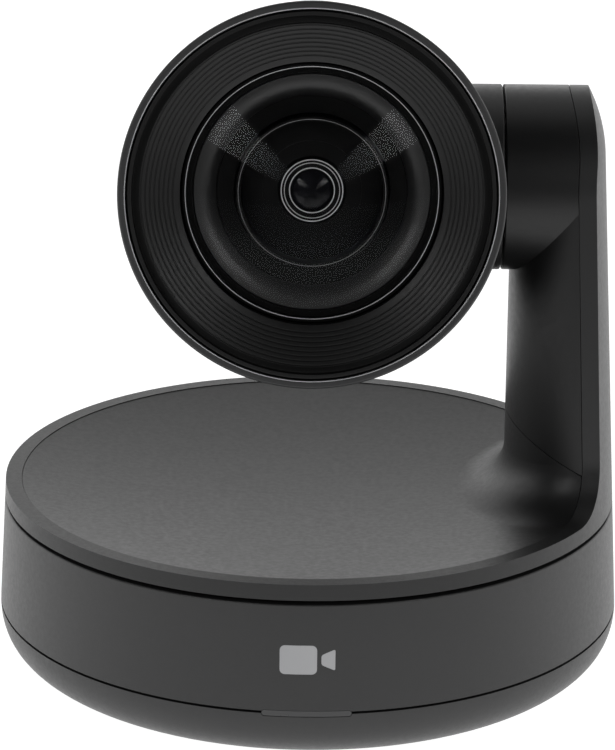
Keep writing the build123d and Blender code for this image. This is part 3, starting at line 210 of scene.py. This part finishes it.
def addWorld(settings):
    world = bpy.data.worlds.new("studio")
    bpy.context.scene.world = world
    world.use_nodes = True
    tree = world.node_tree
    tree.nodes.clear()
    output = tree.nodes.new("ShaderNodeOutputWorld")
    mix = tree.nodes.new("ShaderNodeMixShader")
    seen = tree.nodes.new("ShaderNodeBackground")
    lit = tree.nodes.new("ShaderNodeBackground")
    path = tree.nodes.new("ShaderNodeLightPath")
    coordinate = tree.nodes.new("ShaderNodeTexCoord")
    parts = tree.nodes.new("ShaderNodeSeparateXYZ")
    ramp = tree.nodes.new("ShaderNodeMapRange")
    ramp.interpolation_type = "SMOOTHSTEP"
    ramp.inputs["From Min"].default_value = settings["backFrom"]
    ramp.inputs["From Max"].default_value = settings["backTo"]
    ramp.inputs["To Min"].default_value = settings["frontTone"]
    ramp.inputs["To Max"].default_value = settings["backTone"]
    tree.links.new(coordinate.outputs["Generated"], parts.inputs[0])
    tree.links.new(parts.outputs["Y"], ramp.inputs["Value"])
    sky = addRange(
        tree, parts.outputs["Z"], 1.0, settings["skyTone"], settings["skyLow"], settings["skyHigh"]
    )
    product = tree.nodes.new("ShaderNodeMath")
    product.operation = "MULTIPLY"
    tree.links.new(ramp.outputs["Result"], product.inputs[0])
    tree.links.new(sky, product.inputs[1])
    tree.links.new(product.outputs[0], lit.inputs["Strength"])
    tree.links.new(path.outputs["Is Camera Ray"], mix.inputs[0])
    tree.links.new(lit.outputs[0], mix.inputs[1])
    tree.links.new(seen.outputs[0], mix.inputs[2])
    tree.links.new(mix.outputs[0], output.inputs["Surface"])
    seen.inputs["Color"].default_value = (1, 1, 1, 1)
    lit.inputs["Color"].default_value = (1, 1, 1, 1)


def softBoxMaterial(settings):
    # brightest at the outer end, fading towards the lens axis
    material = bpy.data.materials.new("softBoxGlow")
    material.use_nodes = True
    tree = material.node_tree
    tree.nodes.clear()
    output = tree.nodes.new("ShaderNodeOutputMaterial")
    glow = tree.nodes.new("ShaderNodeEmission")
    coordinate = tree.nodes.new("ShaderNodeTexCoord")
    parts = tree.nodes.new("ShaderNodeSeparateXYZ")
    fade = tree.nodes.new("ShaderNodeMapRange")
    fade.interpolation_type = "SMOOTHSTEP"
    fade.inputs["From Min"].default_value = -settings["length"] / 2
    fade.inputs["From Max"].default_value = settings["length"] / 2
    fade.inputs["To Min"].default_value = settings["innerGlow"]
    fade.inputs["To Max"].default_value = settings["glow"]
    tree.links.new(coordinate.outputs["Object"], parts.inputs[0])
    tree.links.new(parts.outputs["Y"], fade.inputs["Value"])
    tree.links.new(fade.outputs["Result"], glow.inputs["Strength"])
    tree.links.new(glow.outputs[0], output.inputs["Surface"])
    return material


def addSoftBoxes(settings):
    lift = math.radians(settings["mirrorLift"])
    mirrorAxis = Vector((0, -math.cos(lift), math.sin(lift)))
    sideways = Vector((1, 0, 0))
    upwards = mirrorAxis.cross(sideways) * -1
    off = math.radians(settings["offAxis"])
    material = softBoxMaterial(settings)
    for number, angle in enumerate(settings["angles"]):
        turn = math.radians(angle)
        outward = sideways * math.cos(turn) - upwards * math.sin(turn)
        direction = mirrorAxis * math.cos(off) + outward * math.sin(off)
        along = (outward - direction * outward.dot(direction)).normalized()
        across = along.cross(direction)
        bpy.ops.mesh.primitive_plane_add(size=1)
        box = bpy.context.object
        box.name = f"softBox{number}"
        place = tiltCentre + direction * settings["distance"]
        turned = Matrix((across, along, direction)).transposed().to_4x4()
        box.data.transform(Matrix.Diagonal((settings["width"], settings["length"], 1, 1)))
        for corner in box.data.vertices:
            if corner.co.y < 0:
                corner.co.x *= settings["taper"]
        box.matrix_world = Matrix.Translation(place) @ turned
        box.data.materials.append(material)
        box.visible_camera = False
        box.select_set(False)


addFloor(studio)
addWorld(studio)
addSoftBoxes(softBoxes)
bpy.context.scene.view_settings.view_transform = "Standard"
print("studio ready")

# finishes

mouldedFinishes = {
    "basePlastic": {"tone": 0.013, "rough": 0.42, "grain": 0.16, "bump": 0.12, "shine": 0.6},
    "rimPlastic": {"tone": 0.011, "rough": 0.42, "grain": 0.16, "bump": 0.12, "shine": 0.5},
    "dishPlastic": {"tone": 0.0095, "rough": 0.40, "grain": 0.18, "bump": 0.10, "shine": 0.43},
    # the arm is the same black plastic as the rest, given a darker tone as painted shade
    "armPlasticPaintedShade": {"tone": 0.007, "rough": 0.38, "grain": 0.18, "bump": 0.08, "shine": 0.45},
    "headPlastic": {"tone": 0.012, "rough": 0.44, "grain": 0.16, "bump": 0.12, "shine": 0.5},
    "bezelPlastic": {"tone": 0.034, "rough": 0.44, "grain": 0.12, "bump": 0.08, "shine": 0.5},
    "baffleBlack": {"tone": 0.0045, "rough": 0.42, "grain": 0.10, "bump": 0.02, "shine": 0.4},
    "innerBlack": {"tone": 0.0015, "rough": 0.34, "grain": 0.10, "bump": 0.01, "shine": 0.16},
    "softBlack": {"tone": 0.005, "rough": 0.40, "grain": 0.10, "bump": 0.0, "shine": 0.65},
    # the two pale edge finishes below colour thin rings along the lens edges as painted highlights
    "paintedDimHighlight": {"tone": 0.22, "rough": 0.35, "grain": 0.10, "bump": 0.02, "shine": 0.5},
    "paintedHighlight": {"tone": 0.55, "rough": 0.28, "grain": 0.10, "bump": 0.02, "shine": 0.6},
    "paleInk": {"tone": 0.42, "rough": 0.45, "grain": 0.10, "bump": 0.03, "shine": 0.5},
    "gearPlastic": {"tone": 0.55, "rough": 0.45, "grain": 0.20, "bump": 0.05, "shine": 0.5},
    "lightPipe": {"tone": 0.045, "rough": 0.30, "grain": 0.20, "bump": 0.03, "shine": 0.5},
    "rubber": {"tone": 0.02, "rough": 0.80, "grain": 0.50, "bump": 0.35, "shine": 0.3},
}


def mouldedPlastic(name, settings):
    # fine eroded grain, with a slow drift in tone and gloss from handling
    material, tree, shader = newMaterial(name)
    tone, rough = settings["tone"], settings["rough"]
    shader.inputs["Specular IOR Level"].default_value = settings["shine"]
    drift = addNoise(tree, 0.03, 3.0)
    speck = addNoise(tree, settings["grain"] * mm * 7, 2.0)
    grain = addNoise(tree, settings["grain"] * mm, 1.0)
    dark = (tone * 0.93, tone * 0.94, tone * 0.97)
    light = (tone * 1.06, tone * 1.06, tone * 1.08)
    colour = addColours(tree, addRange(tree, drift, 0, 1), dark, light)
    tree.links.new(colour, shader.inputs["Base Color"])
    tree.links.new(addRange(tree, speck, rough - 0.03, rough + 0.04), shader.inputs["Roughness"])
    if settings["bump"]:
        normal = addBump(tree, grain, settings["bump"], settings["grain"] * mm)
        tree.links.new(normal, shader.inputs["Normal"])
    return material


metalFinishes = {
    "steel": {"tone": (0.42, 0.42, 0.44), "rough": 0.32, "grain": 0.5},
    "brass": {"tone": (0.70, 0.50, 0.24), "rough": 0.28, "grain": 0.5},
    "castAlloy": {"tone": (0.48, 0.49, 0.50), "rough": 0.48, "grain": 0.9},
    "motorCan": {"tone": (0.55, 0.55, 0.56), "rough": 0.22, "grain": 0.3},
    "socketMetal": {"tone": (0.62, 0.61, 0.58), "rough": 0.25, "grain": 0.3},
    "magnetNickel": {"tone": (0.58, 0.56, 0.52), "rough": 0.18, "grain": 0.4},
}


def workedMetal(name, settings):
    material, tree, shader = newMaterial(name)
    shader.inputs["Metallic"].default_value = 1.0
    tone, rough = settings["tone"], settings["rough"]
    grain = addNoise(tree, settings["grain"] * mm, 3.0)
    stain = addNoise(tree, 0.008, 3.0)
    dark = [part * 0.82 for part in tone]
    light = [min(1.0, part * 1.12) for part in tone]
    colour = addColours(tree, addRange(tree, stain, 0, 1), dark, light)
    tree.links.new(colour, shader.inputs["Base Color"])
    tree.links.new(addRange(tree, grain, rough - 0.06, rough + 0.08), shader.inputs["Roughness"])
    tree.links.new(addBump(tree, grain, 0.06, 0.0002), shader.inputs["Normal"])
    return material


def boardLaminate(name):
    # solder mask over a faint weave
    material, tree, shader = newMaterial(name)
    weave = addNoise(tree, 0.0006, 1.0)
    patch = addNoise(tree, 0.006, 2.0)
    patches = addRange(tree, patch, 0, 1)
    mask = addColours(tree, patches, (0.006, 0.055, 0.022), (0.012, 0.09, 0.035))
    tree.links.new(mask, shader.inputs["Base Color"])
    tree.links.new(addRange(tree, weave, 0.24, 0.4), shader.inputs["Roughness"])
    tree.links.new(addBump(tree, weave, 0.1, 0.0001), shader.inputs["Normal"])
    return material


glassFinishes = {
    "frontGlass": {"tint": (0.93, 0.96, 1.0), "mirror": 0.0036, "glancing": 0.4},
    "innerGlass": {"tint": (0.75, 0.84, 1.0), "mirror": 0.0015, "glancing": 0.3},
}


def coatedGlass(name, settings):
    # coated glass mirrors a little, more at a glancing angle, and is clear otherwise
    material, tree, shader = newMaterial(name)
    shader.inputs["Base Color"].default_value = (*settings["tint"], 1)
    shader.inputs["Metallic"].default_value = 1.0
    shader.inputs["Roughness"].default_value = 0.02
    layer = tree.nodes.new("ShaderNodeLayerWeight")
    layer.inputs["Blend"].default_value = 0.5
    power = tree.nodes.new("ShaderNodeMath")
    power.operation = "POWER"
    power.inputs[1].default_value = 5.0
    tree.links.new(layer.outputs["Facing"], power.inputs[0])
    mirror = addRange(tree, power.outputs[0], settings["mirror"], settings["glancing"], 0.0, 1.0)
    tree.links.new(mirror, shader.inputs["Alpha"])
    return material


def darkElement(name):
    # polished, coated element with blackness behind it
    material, tree, shader = newMaterial(name)
    bloom = addNoise(tree, 0.004, 2.0)
    blooms = addRange(tree, bloom, 0, 1)
    colour = addColours(tree, blooms, (0.004, 0.004, 0.005), (0.008, 0.008, 0.010))
    tree.links.new(colour, shader.inputs["Base Color"])
    tree.links.new(addRange(tree, bloom, 0.03, 0.07), shader.inputs["Roughness"])
    shader.inputs["Specular IOR Level"].default_value = 0.12
    return material


materials = {name: mouldedPlastic(name, settings) for name, settings in mouldedFinishes.items()}
for name, settings in metalFinishes.items():
    materials[name] = workedMetal(name, settings)
for name, settings in glassFinishes.items():
    materials[name] = coatedGlass(name, settings)
materials["boardGreen"] = boardLaminate("boardGreen")
materials["darkGlass"] = darkElement("darkGlass")

slotFinishes = {
    "base_plastic": "basePlastic",
    "rim_plastic": "rimPlastic",
    "dish_plastic": "dishPlastic",
    "arm_plastic": "armPlasticPaintedShade",
    "head_plastic": "headPlastic",
    "bezel_plastic": "bezelPlastic",
    "baffle_black": "baffleBlack",
    "inner_black": "innerBlack",
    "lens_glass": "innerGlass",
    "light_pipe": "lightPipe",
    "rubber": "rubber",
    "brass": "brass",
    "steel": "steel",
    "cast_plate": "castAlloy",
    "gear_plastic": "gearPlastic",
    "motor_can": "motorCan",
    "board_green": "boardGreen",
    "socket_metal": "socketMetal",
    "socket_black": "innerBlack",
    "magnet": "magnetNickel",
}
nodeSlots = {entry["node"]: entry["material_slot"] for entry in frame["record"]["subparts"]}

for name, node in nodes.items():
    node.data.materials.clear()
    node.data.materials.append(materials[slotFinishes[nodeSlots[name]]])
print("finishes set on", len(nodeSlots), "nodes")

# turned pieces of the lens, each from an outline of (radius, height) in mm
# height runs along the optical axis from the tilt centre

smoothAngle = 50


def softened(outline, size):
    # rounds every corner of a closed outline with a few points
    rounded = []
    count = len(outline)
    for number, corner in enumerate(outline):
        here = Vector(corner)
        before = Vector(outline[number - 1]) - here
        after = Vector(outline[(number + 1) % count]) - here
        cut = min(size, before.length * 0.4, after.length * 0.4)
        start = here + before.normalized() * cut
        end = here + after.normalized() * cut
        for share in (0.0, 0.25, 0.5, 0.75, 1.0):
            point = start * (1 - share) ** 2 + here * 2 * share * (1 - share) + end * share**2
            rounded.append(tuple(point))
    return rounded


def turnPiece(name, outline, finish, body, replaced=(), steps=180, closed=True):
    bpy.ops.object.select_all(action="DESELECT")
    radius, height = outline[0]
    bpy.ops.mesh.primitive_circle_add(
        vertices=steps, radius=radius * mm, location=(0, 0, height * mm)
    )
    piece = bpy.context.object
    piece.name = name
    bpy.ops.object.mode_set(mode="EDIT")
    bpy.ops.mesh.select_all(action="SELECT")
    path = outline[1:] + (outline[:1] if closed else [])
    for nextRadius, nextHeight in path:
        bpy.ops.mesh.extrude_edges_move(
            TRANSFORM_OT_translate={"value": (0, 0, (nextHeight - height) * mm)}
        )
        scale = nextRadius / radius
        bpy.ops.transform.resize(value=(scale, scale, 1), center_override=(0, 0, 0))
        radius, height = nextRadius, nextHeight
    bpy.ops.mesh.select_all(action="SELECT")
    bpy.ops.mesh.remove_doubles(threshold=1e-7)
    if not closed:
        # caps the two small ends
        bpy.ops.mesh.select_all(action="SELECT")
        bpy.ops.mesh.fill_holes(sides=0)
    bpy.ops.mesh.select_all(action="SELECT")
    bpy.ops.mesh.normals_make_consistent(inside=False)
    bpy.ops.object.mode_set(mode="OBJECT")
    bpy.ops.object.transform_apply(location=True, rotation=True, scale=True)
    piece.matrix_world = Matrix.Translation(tiltCentre) @ lensTurn()
    bpy.ops.object.transform_apply(location=True, rotation=True, scale=True)
    bpy.ops.object.shade_smooth_by_angle(angle=math.radians(smoothAngle))
    piece.data.materials.append(materials[finish])
    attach(piece, body)
    if replaced:
        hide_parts(*replaced)
    piece.select_set(False)
    return piece


# bezel: front lip, with a fine pale ring on its inner edge as a painted highlight

bezel = {
    "outer": 44.5,
    "opening": 42.75,
    "rearOuter": 43.4,
    "spigotInner": 40.6,
    "spigotOuter": 40.95,
    "widest": 46.5,
    "spigotLength": 3.0,
    "rounding": 0.22,
}


def addBezel(settings):
    low = alongLens("bezel_ring")[0]
    back = low + settings["spigotLength"]
    outline = [
        (settings["spigotInner"] + 0.2, low),
        (settings["spigotOuter"], low),
        (settings["spigotOuter"], back),
        (settings["rearOuter"], back),
        (settings["outer"], settings["widest"] - 0.1),
        (settings["outer"] - 0.15, settings["widest"] + 0.25),
        (settings["outer"] - 0.45, bezelFront),
        (settings["opening"] + 0.25, bezelFront),
        (settings["opening"], bezelFront - 0.25),
        (settings["opening"] - 0.1, back + 1.0),
        (settings["spigotInner"] + 0.2, back + 0.8),
    ]
    turnPiece(
        "bezelRing",
        softened(outline, settings["rounding"]),
        "bezelPlastic",
        "head",
        ["bezel_ring"],
    )


def addBezelHighlightRing(settings):
    opening = settings["opening"]
    # thin pale ring on the edge of the opening, a painted highlight
    edge = [
        (opening - 0.02, bezelFront - 0.30),
        (opening + 0.16, bezelFront - 0.12),
        (opening + 0.02, bezelFront - 0.06),
        (opening - 0.10, bezelFront - 0.24),
    ]
    turnPiece("bezelHighlightRing", softened(edge, 0.05), "paintedHighlight", "head")


addBezel(bezel)
addBezelHighlightRing(bezel)
print("bezel turned")

# baffle: thin rim, black trough, then a ribbed cone down to the glass

baffle = {
    "rimOuter": 42.1,
    "rimInner": 41.2,
    "coneOuter": 39.4,
    "coneInner": 30.3,
    "depth": 4.4,
    "trough": 3.0,
    "sunk": 0.2,
    "wall": 0.8,
    "ribs": 8,
    "firstRib": 31.9,
    "pitch": 1.03,
    "grooveWidth": 0.34,
    "grooveDepth": 0.16,
    "rounding": 0.07,
}


def addBaffle(settings):
    front = alongLens("baffle_ring")[1]
    low = alongLens("baffle_ring")[0]

    def coneHeight(radius):
        share = (radius - settings["coneInner"]) / (settings["coneOuter"] - settings["coneInner"])
        return bezelFront - settings["sunk"] - settings["depth"] * (1 - share)

    inner = settings["coneInner"]
    outline = [(inner, low), (inner, coneHeight(inner))]
    for number in range(settings["ribs"]):
        middle = settings["firstRib"] + settings["pitch"] * number
        for side, sink in ((-0.5, 0), (-0.25, 1), (0.25, 1), (0.5, 0)):
            radius = middle + side * settings["grooveWidth"]
            outline.append((radius, coneHeight(radius) - sink * settings["grooveDepth"]))
    troughFloor = bezelFront - settings["trough"]
    outline += [
        (settings["coneOuter"], coneHeight(settings["coneOuter"])),
        (settings["coneOuter"], troughFloor),
        (settings["rimInner"], troughFloor),
        (settings["rimInner"], front),
        (settings["rimOuter"], front),
        (settings["rimOuter"], troughFloor - settings["wall"]),
        (settings["coneOuter"] - 1, troughFloor - settings["wall"]),
        (settings["coneInner"] + 3, low),
    ]
    rounded = softened(outline, settings["rounding"])
    turnPiece("ribbedBaffle", rounded, "baffleBlack", "head", ["baffle_ring"])


addBaffle(baffle)
print("baffle turned")

# retainer that holds the front glass, with a thin pale ring on its front edge as a painted highlight

retainer = {
    "outer": 29.9,
    "inner": 28.9,
    "seat": 27.4,
    "seatThick": 1.4,
    "chamfer": 0.3,
    "rounding": 0.06,
}


def addRetainer(settings):
    low, front = alongLens("glass_retainer")
    ledge = low + settings["seatThick"]
    outline = [
        (settings["seat"], low),
        (settings["outer"], low),
        (settings["outer"], front - 0.1),
        (settings["outer"] - 0.1, front),
        (settings["inner"] + settings["chamfer"], front),
        (settings["inner"], front - settings["chamfer"]),
        (settings["inner"], ledge),
        (settings["seat"], ledge),
    ]
    rounded = softened(outline, settings["rounding"])
    turnPiece("glassRetainer", rounded, "innerBlack", "head", ["glass_retainer"])
    # thin pale ring on the front edge, a painted highlight
    edge = [
        (settings["inner"] + 0.10, front - 0.24),
        (settings["inner"] + 0.34, front + 0.03),
        (settings["inner"] + 0.16, front + 0.03),
    ]
    turnPiece("retainerHighlightRing", softened(edge, 0.08), "paintedHighlight", "head")


addRetainer(retainer)
print("retainer turned")


def domeCurve(radius, edge, curve, steps=14):
    # heights of a bulging face from the middle out to the edge
    rim = math.sqrt(curve**2 - radius**2)
    points = []
    for number in range(steps + 1):
        reach = radius * number / steps
        points.append((reach, edge + math.sqrt(curve**2 - reach**2) - rim))
    return points


def turnGlass(name, node, radius, curveFront, curveBack, thick, finish, body):
    # the back face meets the front one at the cut edge, and a tiny cap closes each at the middle
    low = alongLens(node)[0]
    front = domeCurve(radius, low + thick, curveFront)
    back = domeCurve(radius, low, curveBack)
    outline = [(0.02, front[0][1])] + front[1:] + back[:0:-1] + [(0.02, back[0][1])]
    turnPiece(name, outline, finish, body, [node], steps=128, closed=False)


glasses = {
    "frontDome": ("front_glass", 28.7, 62.0, 63.6, 1.3, "frontGlass", "head"),
    "zoomElement": ("zoom_glass", 16.4, 48.0, 90.0, 3.0, "innerGlass", "zoom_group"),
}


def addGlasses(settings):
    # each row: node, radius, front and back curve, thickness, finish, body
    for name, row in settings.items():
        turnGlass(name, *row)


addGlasses(glasses)
print("glass turned")

# rounded, finely ridged cone behind the front glass

lensCone = {
    "outer": 27.2,
    "inner": 22.1,
    "front": 38.0,
    "back": 35.2,
    "ridges": 18,
    "bulge": 0.75,
    "ridge": 0.03,
    "seatThick": 1.0,
    "seatWidth": 1.8,
}


def addLensCone(settings):
    low, high = alongLens("lens_cone")
    outline = [(settings["inner"], low)]
    count = settings["ridges"] * 3
    for number in range(count + 1):
        share = number / count
        radius = settings["inner"] + (settings["outer"] - settings["inner"]) * share
        height = settings["back"] + (settings["front"] - settings["back"]) * share
        swell = settings["bulge"] * math.sin(math.pi * share)
        ridge = settings["ridge"] if number % 3 == 1 else 0.0
        outline.append((radius, height + swell + ridge))
    seat = low + settings["seatThick"]
    rim = settings["outer"] + settings["seatWidth"]
    outline += [(settings["outer"], seat), (rim, seat), (rim, low)]
    turnPiece("ridgedCone", outline, "softBlack", "head", ["lens_cone"])


addLensCone(lensCone)
print("cone turned")

# lip on the front edge of the zoom cell and the small ring of the iris, each with thin pale rings on their edges
# as painted highlights

zoomLip = {"outer": 17.45, "inner": 16.6, "proud": 0.05, "length": 0.6}
irisRim = {
    "outer": 7.3,
    "opening": 4.6,
    "step": 6.4,
    "inner": 5.2,
    "flange": 11.5,
    "seat": 16.3,
    "seatThick": 1.0,
}


def addZoomLip(settings):
    front = alongLens("zoom_cell")[1]
    outline = [
        (settings["inner"], front - settings["length"]),
        (settings["outer"], front - settings["length"]),
        (settings["outer"], front - 0.05),
        (settings["outer"] - 0.2, front + settings["proud"]),
        (settings["inner"] + 0.35, front + settings["proud"]),
        (settings["inner"], front - 0.4),
    ]
    turnPiece("zoomLip", softened(outline, 0.1), "innerBlack", "zoom_group")
    # thin pale ring on the lip's front edge, a painted highlight
    edge = [
        (settings["inner"] + 0.28, front),
        (settings["inner"] + 0.48, front),
        (settings["inner"] + 0.38, front + 0.09),
    ]
    turnPiece("zoomHighlightRing", softened(edge, 0.05), "paintedDimHighlight", "zoom_group")


def addIrisRim(settings):
    low, front = alongLens("iris_ring")
    seatTop = low + settings["seatThick"]
    outline = [
        (settings["opening"], low),
        (settings["seat"], low),
        (settings["seat"], seatTop),
        (settings["outer"] + 0.6, seatTop),
        (settings["outer"], front - 0.1),
        (settings["outer"] - 0.3, front),
        (settings["step"] + 0.15, front),
        (settings["step"] - 0.15, front - 0.5),
        (settings["inner"] + 0.2, front - 0.6),
        (settings["inner"], front - 0.45),
        (settings["inner"] - 0.15, front - 0.9),
        (settings["opening"], low + 0.8),
    ]
    rounded = softened(outline, 0.08)
    turnPiece(
        "irisRim", rounded, "innerBlack", "zoom_group", ["iris_ring"], steps=128
    )
    # thin pale rings on the iris edges are painted highlights; the flange ring is plain black
    for name, radius, height, width, finish in (
        ("irisOuterHighlight", settings["outer"] - 0.2, front, 0.20, "paintedHighlight"),
        ("irisStepHighlight", settings["step"], front, 0.12, "paintedHighlight"),
        ("irisThroatHighlight", settings["inner"], front - 0.42, 0.16, "paintedHighlight"),
        ("irisFlange", settings["flange"], seatTop, 0.08, "innerBlack"),
    ):
        wire = [
            (radius - width, height - 0.1),
            (radius + width, height - 0.1),
            (radius, height + 0.07),
        ]
        turnPiece(name, softened(wire, 0.06), finish, "zoom_group", steps=96)


innerLens = {"radius": 5.1, "curve": 9.0, "sink": 1.0, "thick": 1.4}


def addInnerLens(settings):
    # small dark element that closes the opening of the iris
    front = alongLens("iris_ring")[1] - settings["sink"]
    face = domeCurve(settings["radius"], front - 0.6, settings["curve"], steps=10)
    outline = [(0.02, face[0][1])] + face[1:]
    outline += [(settings["radius"], front - settings["thick"]), (0.02, front - settings["thick"])]
    turnPiece("innerLens", outline, "darkGlass", "zoom_group", steps=96, closed=False)


addZoomLip(zoomLip)
addIrisRim(irisRim)
addInnerLens(innerLens)
print("zoom and iris rings turned")

# plain printed camera sign on the front of the base

sign = {
    "height": 30.0,
    "body": (8.6, 7.0),
    "bodyPlace": -2.0,
    "lens": (3.2, 5.2),
    "lensPlace": 4.9,
    "corner": 1.2,
    "lensCorner": 0.48,
    "lensPinch": 0.45,
    "ink": 0.03,
}


def printShape(name, settings, width, tall, place, pinch, corner):
    # a flat shape in front of the wall, pressed onto it and given the thickness of ink
    bpy.ops.object.select_all(action="DESELECT")
    height = settings["height"] * mm
    middle = (place * mm, cadLow[1], height)
    bpy.ops.mesh.primitive_plane_add(size=1, location=middle, rotation=(math.pi / 2, 0, 0))
    shape = bpy.context.object
    shape.name = name
    bpy.ops.object.mode_set(mode="EDIT")
    bpy.ops.mesh.select_all(action="SELECT")
    bpy.ops.transform.resize(value=(width * mm, 1, tall * mm), center_override=middle)
    bpy.ops.object.mode_set(mode="OBJECT")
    bpy.ops.object.transform_apply(location=True, rotation=True, scale=True)
    for corners in shape.data.vertices:
        if corners.co.x < place * mm:
            corners.co.z = height + (corners.co.z - height) * pinch
    bpy.ops.object.mode_set(mode="EDIT")
    bpy.ops.mesh.select_all(action="SELECT")
    bpy.ops.mesh.bevel(offset=corner * mm, segments=5, affect="VERTICES")
    bpy.ops.mesh.select_all(action="SELECT")
    bpy.ops.mesh.quads_convert_to_tris()
    bpy.ops.mesh.subdivide(number_cuts=5)
    bpy.ops.object.mode_set(mode="OBJECT")
    wrap = shape.modifiers.new("wrap", "SHRINKWRAP")
    wrap.target = nodes["base_wall"]
    wrap.wrap_method = "PROJECT"
    wrap.use_project_y = True
    wrap.use_negative_direction = True
    wrap.use_positive_direction = True
    bpy.ops.object.modifier_apply(modifier="wrap")
    skin = shape.modifiers.new("skin", "SOLIDIFY")
    skin.thickness = 2 * settings["ink"] * mm
    skin.offset = 0
    bpy.ops.object.modifier_apply(modifier="skin")
    shape.data.materials.append(materials["paleInk"])
    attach(shape, "base")
    shape.select_set(False)


def addSign(settings):
    width, tall = settings["body"]
    printShape("signBody", settings, width, tall, settings["bodyPlace"], 1.0, settings["corner"])
    width, tall = settings["lens"]
    pinch, corner = settings["lensPinch"], settings["lensCorner"]
    printShape("signLens", settings, width, tall, settings["lensPlace"], pinch, corner)


addSign(sign)
print("sign printed")
